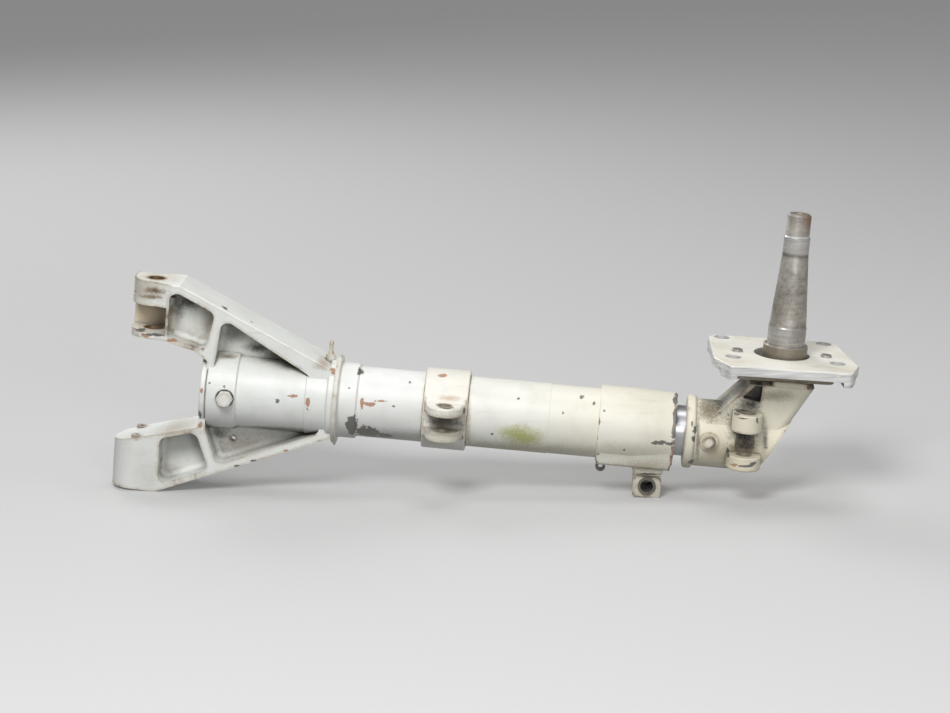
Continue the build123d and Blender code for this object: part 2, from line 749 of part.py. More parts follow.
def torque_lug_bushes():
    inner = LUG_BORE / 2
    outer = inner + LUG_BUSH_WALL
    solids = []
    for side in (-1, 1):
        face = side * LUG_HALF_DEPTH
        inside = side * (LUG_HALF_DEPTH - 16)
        outside = side * (LUG_HALF_DEPTH + LUG_BUSH_FLANGE_THICKNESS)
        sleeve = crosswise(LUG_X, -LUG_PIN_Z, min(face, inside), max(face, inside), outer)
        flange_near, flange_far = min(face, outside), max(face, outside)
        flange = crosswise(LUG_X, -LUG_PIN_Z, flange_near, flange_far, LUG_BUSH_FLANGE / 2)
        bush = sleeve + flange - crosswise(LUG_X, -LUG_PIN_Z, -THROUGH, THROUGH, inner)
        solids.append(bush.solid())
    return Compound(solids)


def line_clip():
    """The small eye under the collar that holds the brake line."""
    centre_z = -COLLAR_RADIUS - CLIP_RADIUS + 1.2
    near, far = CLIP_Y - CLIP_WIDTH / 2, CLIP_Y + CLIP_WIDTH / 2
    eye = crosswise_ring(CLIP_X, centre_z, near, far, CLIP_RADIUS, CLIP_HOLE / 2)
    return eye - rod(COLLAR_START - 1, COLLAR_END, COLLAR_RADIUS + SEAT_FIT)


def lower_bearing():
    return ring(
        BEARING_START,
        BEARING_START + BEARING_LENGTH,
        TUBE_BORE - SEAT_FIT,
        PISTON_RADIUS + RUNNING_FIT,
    )


def gland_start():
    return BEARING_START + BEARING_LENGTH + SEAT_FIT


def gland_ring():
    """The seal carrier between the lower bearing and the snap ring."""
    start = gland_start()
    body = ring(start, snap_ring_start() - SEAT_FIT, TUBE_BORE - SEAT_FIT, PISTON_RADIUS + 0.3)
    middle = start + GLAND_LENGTH / 2
    depth = 2 * SEAL_RADIUS
    for seal_x in (middle - SEAL_PITCH / 2, middle + SEAL_PITCH / 2):
        low, high = seal_x - SEAL_RADIUS - 0.2, seal_x + SEAL_RADIUS + 0.2
        body -= rod(low, high, PISTON_RADIUS + depth)
    return body


def piston_seals():
    middle = gland_start() + GLAND_LENGTH / 2
    section = SEAL_RADIUS - 0.1
    solids = []
    for seal_x in (middle - SEAL_PITCH / 2, middle + SEAL_PITCH / 2):
        centre = PISTON_RADIUS + RUNNING_FIT + section
        seal = Pos(seal_x, 0, 0) * Rot(0, 90, 0) * Torus(centre, section)
        solids.append(seal.solid())
    return Compound(solids)


def snap_ring_start():
    return TUBE_END - SNAP_RING_WIDTH - 2.5


def snap_ring():
    """The open spring ring that keeps the gland in the cylinder."""
    start = snap_ring_start() + SEAT_FIT / 2
    outer = TUBE_BORE + SNAP_RING_DEPTH
    body = ring(start, start + SNAP_RING_WIDTH, outer, TUBE_BORE - 2.2)
    return body - Pos(start, 0, -TUBE_BORE) * Box(20, 9, 12)


def orifice_tube():
    start = head_end() - HEAD_SOCKET
    outer = ORIFICE_TUBE_RADIUS
    return ring(start, ORIFICE_TUBE_END, outer, outer - ORIFICE_TUBE_WALL)


def orifice_plate():
    inner = ORIFICE_TUBE_RADIUS - ORIFICE_TUBE_WALL - SEAT_FIT
    end = ORIFICE_TUBE_END
    plate = ring(end - ORIFICE_PLATE, end, inner, ORIFICE_RADIUS)
    return chamfer(plate.edges().filter_by(GeomType.CIRCLE).sort_by(SortBy.LENGTH)[0], 1.0)


def piston_bearing():
    """The ring that guides the piston's upper end in the cylinder, free to turn on it."""
    start = PISTON_BEARING_X
    body = ring(
        start,
        start + PISTON_BEARING_LENGTH,
        TUBE_BORE - RUNNING_FIT,
        PISTON_SEAT_RADIUS + RUNNING_FIT,
    )
    grooves = []
    for share in (0.3, 0.7):
        x = start + PISTON_BEARING_LENGTH * share
        grooves.append(ring(x - 1, x + 1, TUBE_BORE + 1, TUBE_BORE - 1.2))
    return body - grooves


def piston_tube():
    seat_end = PISTON_BEARING_X + PISTON_BEARING_LENGTH + RUNNING_FIT
    outside = turned(
        [
            (PISTON_START, 0),
            (PISTON_START, PISTON_SEAT_RADIUS - 0.8),
            (PISTON_START + 0.8, PISTON_SEAT_RADIUS),
            (seat_end, PISTON_SEAT_RADIUS),
            (seat_end, PISTON_RADIUS),
            (PISTON_END - 1, PISTON_RADIUS),
            (PISTON_END, PISTON_RADIUS - 1),
            (PISTON_END, 0),
        ]
    )
    tube = outside - rod(PISTON_START - 1, PISTON_END + 1, PISTON_BORE)
    tube -= crosswise(FORK_BOLT_X, 0, -THROUGH, THROUGH, FORK_BOLT / 2 + SEAT_FIT)
    ring_end = PISTON_BEARING_X - RUNNING_FIT
    width = SNAP_RING_WIDTH + SEAT_FIT
    depth = PISTON_SEAT_RADIUS - 1.2 - SEAT_FIT
    return tube - ring(ring_end - width, ring_end, PISTON_SEAT_RADIUS + 1, depth)


def piston_snap_ring():
    """The spring ring that keeps the guide ring on the piston."""
    end = PISTON_BEARING_X - RUNNING_FIT - SEAT_FIT / 2
    start = end - SNAP_RING_WIDTH
    body = ring(start, end, PISTON_RADIUS + 1.6, PISTON_SEAT_RADIUS - 1.2)
    return body - Pos(start, 0, -PISTON_RADIUS) * Box(20, 8, 10)


def piston_plug():
    """The closed end of the piston, pinned by the fork bolt, that carries the metering pin."""
    half = PISTON_PLUG_LENGTH / 2
    start, end = FORK_BOLT_X - half, FORK_BOLT_X + half
    plug = rod(start, end, PISTON_BORE - SEAT_FIT)
    plug -= crosswise(FORK_BOLT_X, 0, -THROUGH, THROUGH, FORK_BOLT / 2 + SEAT_FIT)
    groove = ring(start + 1.5, start + 4.5, PISTON_BORE + 1, PISTON_BORE - 2.4)
    plug -= groove
    return plug - rod(start - 1, start + 5, PIN_ROOT_RADIUS + SEAT_FIT)


def plug_seal():
    start = FORK_BOLT_X - PISTON_PLUG_LENGTH / 2
    section = 1.2
    seat = PISTON_BORE - 2.4 + section
    return Pos(start + 3, 0, 0) * Rot(0, 90, 0) * Torus(seat, section - SEAT_FIT)


def metering_pin():
    """The tapered rod that closes the orifice as the strut is pushed in."""
    root = FORK_BOLT_X - PISTON_PLUG_LENGTH / 2 + 5 - SEAT_FIT
    return turned(
        [
            (PIN_TIP_X, 0),
            (PIN_TIP_X, PIN_TIP_RADIUS - 1),
            (PIN_TIP_X + 1.5, PIN_TIP_RADIUS),
            (ORIFICE_TUBE_END, PIN_ROOT_RADIUS),
            (root, PIN_ROOT_RADIUS),
            (root, 0),
        ]
    )


def fitting_right_x(z, offset=0.0):
    """Where the axle fitting's raked outer face stands at a height."""
    rake = math.tan(math.radians(90 - FITTING_ANGLE))
    return FITTING_HEEL_X + (z + FITTING_RADIUS) * rake + offset


def axle_fitting():
    """The casting that holds the piston's foot and rises to the axle pad."""
    socket = rod(FITTING_START, FITTING_HEEL_X + 60, FITTING_RADIUS)
    keep = side_slab(
        side_outline(
            [
                (FITTING_START, -80),
                (fitting_right_x(-80), -80),
                (fitting_right_x(80), 80),
                (FITTING_START, 80),
            ]
        ),
        -80,
        80,
    )
    socket = socket & keep
    arm_outline = side_outline(
        [
            (RIDGE_X, RIDGE_Z),
            (RIDGE_TOP_X, PAD_Z - 4),
            (RIDGE_TOP_X + 2, PAD_Z),
            (fitting_right_x(PAD_Z), PAD_Z),
            (fitting_right_x(FITTING_ARM_Z), FITTING_ARM_Z),
            (RIDGE_X, FITTING_ARM_Z),
        ]
    )
    arm = side_slab(arm_outline, -FITTING_HALF_DEPTH, FITTING_HALF_DEPTH)
    raked = [e for e in arm.edges() if fitting_corner(e)]
    arm = fillet(raked, 9.0)
    bead = rod(FITTING_START, FITTING_START + BEAD_WIDTH, BEAD_RADIUS)
    bead = fillet(bead.edges().filter_by(GeomType.CIRCLE), BEAD_WIDTH / 2 - 1.5)
    pad_depth = 2 * FITTING_HALF_DEPTH + 2
    pad = Pos(PAD_X, 0, PAD_Z + PAD_HEIGHT / 2) * Box(PAD_WIDTH, pad_depth, PAD_HEIGHT)
    body = socket + arm + bead + pad
    body = (body - torque_link_room()) + torque_ears()
    for side in (-1, 1):
        near, far = sorted((0, side * FORK_BOLT_BOSS_Y))
        body += crosswise(FORK_BOLT_X, 0, near, far, FORK_BOLT_BOSS)
    ear_hole = TORQUE_EAR_BORE / 2 + TORQUE_BUSH_WALL + SEAT_FIT
    body -= upright(TORQUE_EAR_X, TORQUE_EAR_Y, -THROUGH, THROUGH, ear_hole)
    body -= side_recesses()
    body -= rod(FITTING_START - 1, PISTON_END + SEAT_FIT, PISTON_RADIUS + SEAT_FIT)
    body -= crosswise(FORK_BOLT_X, 0, -THROUGH, THROUGH, FORK_BOLT / 2 + SEAT_FIT)
    shank = AXLE_SHANK / 2 + SEAT_FIT
    body -= upright(AXLE_X, 0, AXLE_SHANK_BOTTOM, PAD_Z + 20, shank)
    return body - axle_cross_pin_hole()


def fitting_corner(edge):
    """True for the long edges of the fitting's raked outer face."""
    middle = edge.center()
    along = edge.tangent_at(0.5)
    on_face = abs(middle.X - fitting_right_x(middle.Z)) < 0.5
    return on_face and abs(along.Y) < 0.1 and abs(abs(middle.Y) - FITTING_HALF_DEPTH) < 0.5


def torque_ear_sizes():
    """The lower limit, upper limit and radius of each torque link ear, the upper ear first."""
    upper = (UPPER_EAR_LOW, UPPER_EAR_HIGH, UPPER_EAR_RADIUS)
    lower = (LOWER_EAR_LOW, LOWER_EAR_HIGH, LOWER_EAR_RADIUS)
    return upper, lower


def torque_link_room():
    """The hollow between the ears in which the end of the torque link turns."""
    return upright(TORQUE_EAR_X, TORQUE_EAR_Y, LOWER_EAR_HIGH, UPPER_EAR_LOW, TORQUE_LINK_ROOM)


def torque_ears():
    """The two ears of the lower torque link, standing towards the front."""
    ears = []
    for low, high, radius in torque_ear_sizes():
        outline = Pos(TORQUE_EAR_X, TORQUE_EAR_Y) * Circle(radius)
        root = Pos(TORQUE_EAR_X, TORQUE_EAR_Y / 2)
        outline += root * Rectangle(2 * radius, -TORQUE_EAR_Y)
        ear = Pos(0, 0, low) * extrude(outline, high - low)
        ears.append(fillet(ear.edges().filter_by(GeomType.CIRCLE), 1.5))
    return ears[0] + ears[1]


def ridge_x(z):
    """Where the arm's sloping ridge stands at a height."""
    slope = (RIDGE_TOP_X - RIDGE_X) / (PAD_Z - 4 - RIDGE_Z)
    return RIDGE_X + (z - RIDGE_Z) * slope


def side_recesses():
    """The cast hollows beside the arm's ridge, on the front and on the back."""
    top = PAD_Z - 1
    outline = side_outline(
        [
            (ridge_x(SIDE_POCKET_BOTTOM + 3) + SIDE_POCKET_RIM, SIDE_POCKET_BOTTOM + 3),
            (ridge_x(top) + SIDE_POCKET_RIM, top),
            (SIDE_POCKET_END_X, top),
            (SIDE_POCKET_END_X - 1, SIDE_POCKET_BOTTOM),
        ],
        1.5,
    )
    near = -FITTING_HALF_DEPTH
    front = side_slab(outline, near - 1, near + SIDE_POCKET_DEPTH)
    return front + mirror(front, Plane.XZ)


def torque_ear_bushes():
    inner = TORQUE_EAR_BORE / 2
    outer = inner + TORQUE_BUSH_WALL
    solids = []
    for low, high, _ in torque_ear_sizes():
        solids.append(upright_ring(TORQUE_EAR_X, TORQUE_EAR_Y, low, high, outer, inner).solid())
    return Compound(solids)


def fork_bolt():
    """The bolt that pins the piston, its plug and the axle fitting together."""
    seat = FORK_BOLT_BOSS_Y
    shank = crosswise(FORK_BOLT_X, 0, -seat, seat + 8, FORK_BOLT / 2)
    head = crosswise(FORK_BOLT_X, 0, -seat - FORK_BOLT_HEAD_HEIGHT, -seat, FORK_BOLT_HEAD)
    return shank + fillet(head.faces().sort_by(Axis.Y)[0].edges(), 1.2)


def fork_bolt_nut():
    seat = FORK_BOLT_BOSS_Y
    nut = Pos(FORK_BOLT_X, seat, 0) * Rot(-90, 0, 0) * hexagon_bar(2 * FORK_BOLT_HEAD + 1, 6.5)
    return nut - crosswise(FORK_BOLT_X, 0, seat - 1, seat + 20, FORK_BOLT / 2 + SEAT_FIT)


def axle_flange_bottom():
    return PAD_Z + PAD_HEIGHT


def axle_spindle():
    """The stub axle: shank, square flange, shoulder, two bearing seats, taper and thread."""
    flange_low = axle_flange_bottom()
    flange_top = PLATE_TOP - PLATE_THICKNESS
    seat = AXLE_SEAT / 2
    outer_seat = AXLE_OUTER_SEAT / 2
    thread = AXLE_THREAD / 2
    stem = turned_upright(
        [
            (0, AXLE_SHANK_BOTTOM + END_GAP),
            (AXLE_SHANK / 2, AXLE_SHANK_BOTTOM + END_GAP),
            (AXLE_SHANK / 2, flange_low + 1),
            (AXLE_SHOULDER_RADIUS, flange_low + 1),
            (AXLE_SHOULDER_RADIUS, AXLE_SHOULDER_TOP - 1),
            (AXLE_SHOULDER_RADIUS - 1, AXLE_SHOULDER_TOP),
            (seat, AXLE_SHOULDER_TOP),
            (seat, AXLE_SEAT_TOP),
            (seat - 0.6, AXLE_SEAT_TOP + 1.5),
            (outer_seat, AXLE_TAPER_TOP),
            (outer_seat, AXLE_OUTER_SEAT_TOP - 1),
            (outer_seat - 1, AXLE_OUTER_SEAT_TOP),
            (thread, AXLE_OUTER_SEAT_TOP),
            (thread, AXLE_TOP - 2),
            (thread - 2, AXLE_TOP),
            (0, AXLE_TOP),
        ],
        AXLE_X,
    )
    outline = RectangleRounded(AXLE_FLANGE_LENGTH, AXLE_FLANGE_DEPTH, 10)
    outline += Pos(0, PLATE_BACK_BOLT_Y) * Circle(PLATE_BOLT_BOSS)
    outline += Pos(0, PLATE_BACK_BOLT_Y / 2) * Rectangle(2 * PLATE_BOLT_BOSS, PLATE_BACK_BOLT_Y)
    flange = plate_frame(flange_low) * extrude(outline, flange_top - flange_low)
    body = stem + flange - plate_bolt_holes(flange_low - 1, flange_top + 1)
    body -= upright(AXLE_X, 0, AXLE_TOP - 30, AXLE_TOP + 1, AXLE_BORE / 2)
    return body - axle_cross_pin_hole()


def axle_cross_pin_end():
    """How far towards the front the cross pin reaches, just past the axle's shank."""
    return -AXLE_SHANK / 2 - 4


def axle_cross_pin_hole():
    near = axle_cross_pin_end() - END_GAP
    return crosswise(AXLE_X, AXLE_CROSS_PIN_Z, near, THROUGH, AXLE_CROSS_PIN / 2 + SEAT_FIT)


def axle_cross_pin():
    """The pin that keeps the axle in the fitting, put in from the back."""
    far = FITTING_HALF_DEPTH - 1
    return crosswise(AXLE_X, AXLE_CROSS_PIN_Z, axle_cross_pin_end(), far, AXLE_CROSS_PIN / 2)


def plate_frame(height):
    """The place of the plate's own axes, at a height: beside the axle's line, and turned."""
    return Pos(AXLE_X - PLATE_SHIFT, 0, height) * Rot(0, 0, PLATE_TURN)


def plate_bolt_places():
    return [(-PLATE_BOLT_X, 0), (PLATE_BOLT_X, 0), (0, PLATE_BACK_BOLT_Y)]


def plate_bolt_holes(low, high):
    radius = PLATE_BOLT / 2 + SEAT_FIT
    frame = plate_frame(0)
    return [frame * upright(x, y, low, high, radius) for x, y in plate_bolt_places()]


def plate_outline():
    """The plate seen along the axle: widest towards the front, with its corners cut."""
    half = [
        (PLATE_BACK_LENGTH / 2, PLATE_BACK_Y),
        (PLATE_SHOULDER_LENGTH / 2, PLATE_SHOULDER_Y),
        (PLATE_BELLY_LENGTH / 2, PLATE_BELLY_Y),
        (PLATE_FRONT_LENGTH / 2, PLATE_FRONT_Y),
    ]
    other = [(-x, y) for x, y in reversed(half)]
    outline = make_face(Polyline(*half, *other, close=True))
    return fillet(outline.vertices(), PLATE_CORNER_ROUND)


def plate_foot_places():
    """The corners that carry the feet, each as the middle of a square."""
    back_x = (PLATE_SHOULDER_LENGTH - PLATE_FOOT_SIZE) / 2
    front_x = (PLATE_BELLY_LENGTH - PLATE_FOOT_SIZE) / 2
    back_y = PLATE_BACK_Y - PLATE_FOOT_SIZE / 2
    front_y = PLATE_FRONT_Y + PLATE_FOOT_SIZE / 2
    return [(-back_x, back_y), (back_x, back_y), (-front_x, front_y), (front_x, front_y)]


def brake_torque_plate():
    """The cast plate that carries the brake, bolted to the axle's flange."""
    outline = plate_outline()
    body = extrude(outline, PLATE_THICKNESS)
    tall = Pos(0, 0, -PLATE_FOOT) * extrude(outline, PLATE_THICKNESS)
    for x, y in plate_foot_places():
        body += tall & Pos(x, y, 0) * Box(PLATE_FOOT_SIZE, PLATE_FOOT_SIZE, 4 * PLATE_FOOT)
    top = body.faces().sort_by(Axis.Z)[-1]
    body = fillet(top.outer_wire().edges(), 1.5)
    body -= Cylinder(PLATE_BORE / 2, 4 * PLATE_THICKNESS)
    for side_x in (-1, 1):
        for side_y in (-1, 1):
            x = side_x * PLATE_HOLE_LENGTH / 2
            y = PLATE_HOLE_Y + side_y * PLATE_HOLE_DEPTH / 2
            body -= upright(x, y, -PLATE_FOOT - 1, PLATE_THICKNESS + 1, PLATE_HOLE / 2)
    body = plate_frame(PLATE_TOP - PLATE_THICKNESS) * body
    return body - plate_bolt_holes(0, PLATE_TOP + 1)


def plate_bolts():
    low = axle_flange_bottom() + 1
    solids = []
    for x, y in plate_bolt_places():
        shank = upright(x, y, low, PLATE_TOP, PLATE_BOLT / 2)
        head = upright(x, y, PLATE_TOP, PLATE_TOP + PLATE_BOLT_HEAD_HEIGHT, PLATE_BOLT_HEAD)
        head = chamfer(head.faces().sort_by(Axis.Z)[-1].edges(), 0.6)
        solids.append((plate_frame(0) * (shank + head)).solid())
    return Compound(solids)


def lie_angle():
    """The slope of the strut when the foot arm's edge and the torque lug touch the ground."""
    lug_x = LUG_X + LUG_WIDTH / 2 - CORNER_ROUND
    lug_z = -LUG_BOTTOM + CORNER_ROUND
    run = lug_x - FOOT_EDGE_X
    drop = lug_z + FOOT_BOTTOM
    return math.degrees(math.atan2(drop, run) - math.asin(CORNER_ROUND / math.hypot(run, drop)))


pieces = {
    "trunnion_housing": trunnion_housing(),
    "fork_bushes": fork_bushes(),
    "foot_bush": foot_bush(),
    "cylinder_tube": cylinder_tube(),
    "lock_ring": lock_ring(),
    "cylinder_head": cylinder_head(),
    "head_seal": head_seal(),
    "head_bolt": head_bolt(),
    "head_bolt_washers": head_bolt_washers(),
    "head_bolt_nut": head_bolt_nut(),
    "filler_valve": filler_valve(),
    "valve_cap": valve_cap(),
    "grease_fitting": grease_fitting(GREASE_X, GREASE_SEAT),
    "side_brace_fitting": side_brace_fitting(),
    "side_brace_bushes": side_brace_bushes(),
    "lower_collar": lower_collar(),
    "torque_lug_bushes": torque_lug_bushes(),
    "line_clip": line_clip(),
    "lower_bearing": lower_bearing(),
    "gland_ring": gland_ring(),
    "piston_seals": piston_seals(),
    "snap_ring": snap_ring(),
    "orifice_tube": orifice_tube(),
    "orifice_plate": orifice_plate(),
    "piston_bearing": piston_bearing(),
    "piston_tube": piston_tube(),
    "piston_snap_ring": piston_snap_ring(),
    "piston_plug": piston_plug(),
    "plug_seal": plug_seal(),
    "metering_pin": metering_pin(),
    "axle_fitting": axle_fitting(),
    "torque_ear_bushes": torque_ear_bushes(),
    "fork_bolt": fork_bolt(),
    "fork_bolt_nut": fork_bolt_nut(),
    "axle_spindle": axle_spindle(),
    "axle_cross_pin": axle_cross_pin(),
    "brake_torque_plate": brake_torque_plate(),
    "plate_bolts": plate_bolts(),
}

lay_down = Rot(0, lie_angle(), 0)
laid = {name: lay_down * piece for name, piece in pieces.items()}
box = Compound(list(laid.values())).bounding_box()
centre = box.center()
stand = Pos(-centre.X, -centre.Y, -box.min.Z)

for name, piece in laid.items():
    export_step(stand * piece, f"parts/{name}.step")

origin = stand * lay_down * Location((0, 0, 0))
print("lie angle", round(lie_angle(), 6), "trunnion line meets strut at", tuple(origin.position))
print("box", box.size)
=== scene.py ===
import bpy
import math
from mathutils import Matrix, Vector


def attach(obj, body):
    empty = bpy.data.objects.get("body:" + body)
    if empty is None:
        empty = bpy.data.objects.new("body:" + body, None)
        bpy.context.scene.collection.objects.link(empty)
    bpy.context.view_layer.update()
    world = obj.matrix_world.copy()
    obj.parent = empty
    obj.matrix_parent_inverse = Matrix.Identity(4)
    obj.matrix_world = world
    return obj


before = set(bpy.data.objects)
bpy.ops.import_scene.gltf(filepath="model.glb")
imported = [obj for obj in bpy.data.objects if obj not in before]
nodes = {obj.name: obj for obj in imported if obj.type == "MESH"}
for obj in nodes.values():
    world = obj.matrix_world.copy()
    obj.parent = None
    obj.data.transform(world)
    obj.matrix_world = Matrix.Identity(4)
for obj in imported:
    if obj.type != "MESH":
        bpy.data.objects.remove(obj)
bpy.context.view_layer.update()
bpy.ops.object.select_all(action="DESELECT")

# Camera. The leg is seen from the side that shows the brace lugs, a little from above and from
# the wheel end, through a long lens three metres away.
camera_turn = math.radians(2.81)
camera_height = math.radians(13.2)
camera_distance = 3.018
camera_target = Vector((-0.0060, 0.0, 0.1376))
focal_pixels = 3000
picture_width_pixels = 950
towards_camera = Vector((math.sin(camera_turn) * math.cos(camera_height),
                         -math.cos(camera_turn) * math.cos(camera_height),
                         math.sin(camera_height)))
bpy.ops.object.camera_add(location=camera_target + towards_camera * camera_distance,
                          rotation=(math.pi / 2 - camera_height, 0, camera_turn))
camera = bpy.context.object
camera.data.sensor_width = 36
camera.data.lens = camera.data.sensor_width * focal_pixels / picture_width_pixels
camera.data.clip_end = 60
bpy.context.scene.camera = camera

# Floor and studio light. A plain pale floor that throws little light back up, one large soft lamp
# above and in front, weaker ones overhead, low in front, at the wheel end and behind, and a pale
# surround. The floor is paler to the camera and in reflections than in the light that it throws.
bpy.ops.mesh.primitive_plane_add(size=30)
floor = bpy.context.object
floor.name = "floor"
floor_finish = bpy.data.materials.new("floor")
floor_finish.use_nodes = True
floor_tree = floor_finish.node_tree
floor_shader = floor_tree.nodes["Principled BSDF"]
floor_shader.inputs["Roughness"].default_value = 0.9
floor_shader.inputs["Specular IOR Level"].default_value = 0.1
floor_shader.inputs["Emission Color"].default_value = (0.80, 0.79, 0.77, 1)
ray = floor_tree.nodes.new("ShaderNodeLightPath")
seen = floor_tree.nodes.new("ShaderNodeMath")
seen.operation = "MAXIMUM"
floor_tree.links.new(ray.outputs["Is Camera Ray"], seen.inputs[0])
floor_tree.links.new(ray.outputs["Is Glossy Ray"], seen.inputs[1])
for socket, when_unseen, when_seen in (("Base Color", 0.22, 0.50), ("Emission Strength", 0.0, 0.13)):
    level = floor_tree.nodes.new("ShaderNodeMapRange")
    level.inputs["To Min"].default_value = when_unseen
    level.inputs["To Max"].default_value = when_seen
    floor_tree.links.new(seen.outputs[0], level.inputs["Value"])
    floor_tree.links.new(level.outputs[0], floor_shader.inputs[socket])
floor.data.materials.append(floor_finish)


def soft_lamp(place, size, watts):
    """A round lamp that shines on the middle of the floor."""
    bpy.ops.object.light_add(type="AREA", location=place)
    lamp = bpy.context.object
    lamp.data.shape = "DISK"
    lamp.data.size = size
    lamp.data.energy = watts
    lamp.rotation_euler = (-Vector(place)).to_track_quat("-Z", "Y").to_euler()


soft_lamp((-0.5, -1.8, 2.0), 1.0, 47)  # above and in front
soft_lamp((0.2, 0.3, 2.6), 1.0, 13)  # overhead
soft_lamp((0.7, -2.4, 0.9), 0.8, 15)  # low in front
soft_lamp((2.2, -0.6, 1.3), 1.0, 6)  # at the wheel end
soft_lamp((-1.2, 2.0, 1.7), 1.4, 24)  # behind
world = bpy.data.worlds.new("surround")
bpy.context.scene.world = world
world.use_nodes = True
surround = world.node_tree.nodes["Background"]
surround.inputs["Color"].default_value = (0.88, 0.88, 0.90, 1)
surround.inputs["Strength"].default_value = 0.26
bpy.context.scene.view_settings.view_transform = "Standard"

# Trunnion housing. One casting with the fork above and the foot below. Its white paint lies over
# salmon primer over grey metal, chips at the rims, and holds soot and dust in the pockets, with
# painted shade darkening the pockets and painted highlights on the rims.


def new_finish(name):
    """A new material, given as its node tree, its shader and itself."""
    material = bpy.data.materials.new(name)
    material.use_nodes = True
    return material.node_tree, material.node_tree.nodes["Principled BSDF"], material


def add(tree, kind, values=None, **settings):
    """A node with its sockets set: a number or colour is typed in, a socket is wired in."""
    node = tree.nodes.new(kind)
    for name, value in settings.items():
        setattr(node, name, value)
    for socket, value in (values or {}).items():
        if isinstance(value, bpy.types.NodeSocket):
            tree.links.new(value, node.inputs[socket])
        else:
            node.inputs[socket].default_value = value
    return node


def blotches(tree, where, scale, seed, detail=6.0, roughness=0.6, stretch=None):
    """Cloudy spots from 0 to 1, as many to a metre as the scale says."""
    if stretch:
        where = add(tree, "ShaderNodeMapping", {"Vector": where, "Scale": stretch}).outputs[0]
    values = {"Vector": where, "W": seed, "Scale": scale, "Detail": detail, "Roughness": roughness}
    return add(tree, "ShaderNodeTexNoise", values, noise_dimensions="4D").outputs["Fac"]


def sum_of(tree, *values):
    """All the values added up."""
    total = values[0]
    for value in values[1:]:
        total = add(tree, "ShaderNodeMath", {0: total, 1: value}, operation="ADD").outputs[0]
    return total


def times(tree, a, b):
    """One value times the other."""
    return add(tree, "ShaderNodeMath", {0: a, 1: b}, operation="MULTIPLY").outputs[0]


def less(tree, a, b):
    """The first value without the second."""
    return add(tree, "ShaderNodeMath", {0: a, 1: b}, operation="SUBTRACT").outputs[0]


def most(tree, a, b):
    """The larger of two values."""
    return add(tree, "ShaderNodeMath", {0: a, 1: b}, operation="MAXIMUM").outputs[0]


def fade(tree, value, low, high):
    """0 below the low value and 1 above the high one."""
    values = {"Value": value, "From Min": low, "From Max": high}
    return add(tree, "ShaderNodeMapRange", values).outputs[0]


def spread(tree, value, low, high):
    """A value from 0 to 1, turned into one from low to high."""
    values = {"Value": value, "To Min": low, "To Max": high}
    return add(tree, "ShaderNodeMapRange", values).outputs[0]


def relief(tree, shader, height, depth, strength):
    """Fine bumps on a surface, as deep as the depth in metres."""
    values = {"Height": height, "Distance": depth, "Strength": strength}
    bump = add(tree, "ShaderNodeBump", values)
    tree.links.new(bump.outputs["Normal"], shader.inputs["Normal"])


def along(tree, where, direction):
    """How far a place lies in a direction."""
    return add(tree, "ShaderNodeVectorMath", {0: where, 1: direction},
               operation="DOT_PRODUCT").outputs["Value"]


def tint(tree, amount, under, over):
    """The colour over the one under it, by an amount from 0 to 1."""
    node = tree.nodes.new("ShaderNodeMix")
    node.data_type = "RGBA"
    for socket, value in (("Factor_Float", amount), ("A_Color", under), ("B_Color", over)):
        target = [one for one in node.inputs if one.identifier == socket][0]
        if isinstance(value, bpy.types.NodeSocket):
            tree.links.new(value, target)
        elif socket == "Factor_Float":
            target.default_value = value
        else:
            target.default_value = (*value, 1)
    return [one for one in node.outputs if one.identifier == "Result_Color"][0]


def edges_of(tree, reach):
    """Near 1 along an outer edge or corner, 0 on flats."""
    solid = add(tree, "ShaderNodeAmbientOcclusion", {"Distance": reach}, samples=6, inside=True,
                only_local=True).outputs["AO"]
    return less(tree, 1.0, solid)


def hollows_of(tree, reach):
    """0 in the open and up to 1 deep in a pocket or a corner."""
    open_sky = add(tree, "ShaderNodeAmbientOcclusion", {"Distance": reach}, samples=6,
                   only_local=True).outputs["AO"]
    return less(tree, 1.0, open_sky)


def away_from(tree, where, place):
    """The step from one place to another."""
    return add(tree, "ShaderNodeVectorMath", {0: where, 1: place}, operation="SUBTRACT").outputs[0]


def length_of(tree, step):
    """How long a step is."""
    return add(tree, "ShaderNodeVectorMath", {0: step}, operation="LENGTH").outputs["Value"]


def reach_of(tree, where, place, size):
    """How far from a place, where 1 is the surface of an ellipsoid with these half sizes."""
    step = away_from(tree, where, place)
    shrunk = add(tree, "ShaderNodeVectorMath", {0: step, 1: [1 / one for one in size]},
                 operation="MULTIPLY").outputs[0]
    return length_of(tree, shrunk)


def patch_of(tree, where, place, size, noise):
    """1 inside a ragged patch with a hard border."""
    torn = sum_of(tree, reach_of(tree, where, place, size), times(tree, noise, 3.4))
    return less(tree, 1.0, fade(tree, torn, 2.66, 2.76))


def stain_of(tree, where, place, size, noise):
    """1 in the middle of a cloudy stain, fading out to its border."""
    soft = sum_of(tree, reach_of(tree, where, place, size), times(tree, noise, 2.2))
    return less(tree, 1.0, fade(tree, soft, 1.35, 2.35))


# Where the strut's middle line crosses the upper pins, the directions along the strut and up the
# axle, and how far along the strut the origin lies.
strut_start = (-0.334958, -0.000849498, 0.107786)
strut_run = (0.996655, 0, -0.081722)
axle_rise = (0.081722, 0, 0.996655)
origin_run = 0.342646


def along_strut(tree, where):
    """Metres along the strut from the line of the upper pins."""
    return sum_of(tree, along(tree, where, strut_run), origin_run)


def between(tree, value, low, high, soft):
    """1 from the low value to the high one, with soft borders."""
    above_low = fade(tree, value, low - soft, low + soft)
    return less(tree, above_low, fade(tree, value, high - soft, high + soft))


def from_axis(tree, where):
    """Metres out from the middle line of the strut."""
    turned = add(tree, "ShaderNodeVectorMath", {0: away_from(tree, where, strut_start), 1: strut_run},
                 operation="CROSS_PRODUCT").outputs[0]
    return length_of(tree, turned)
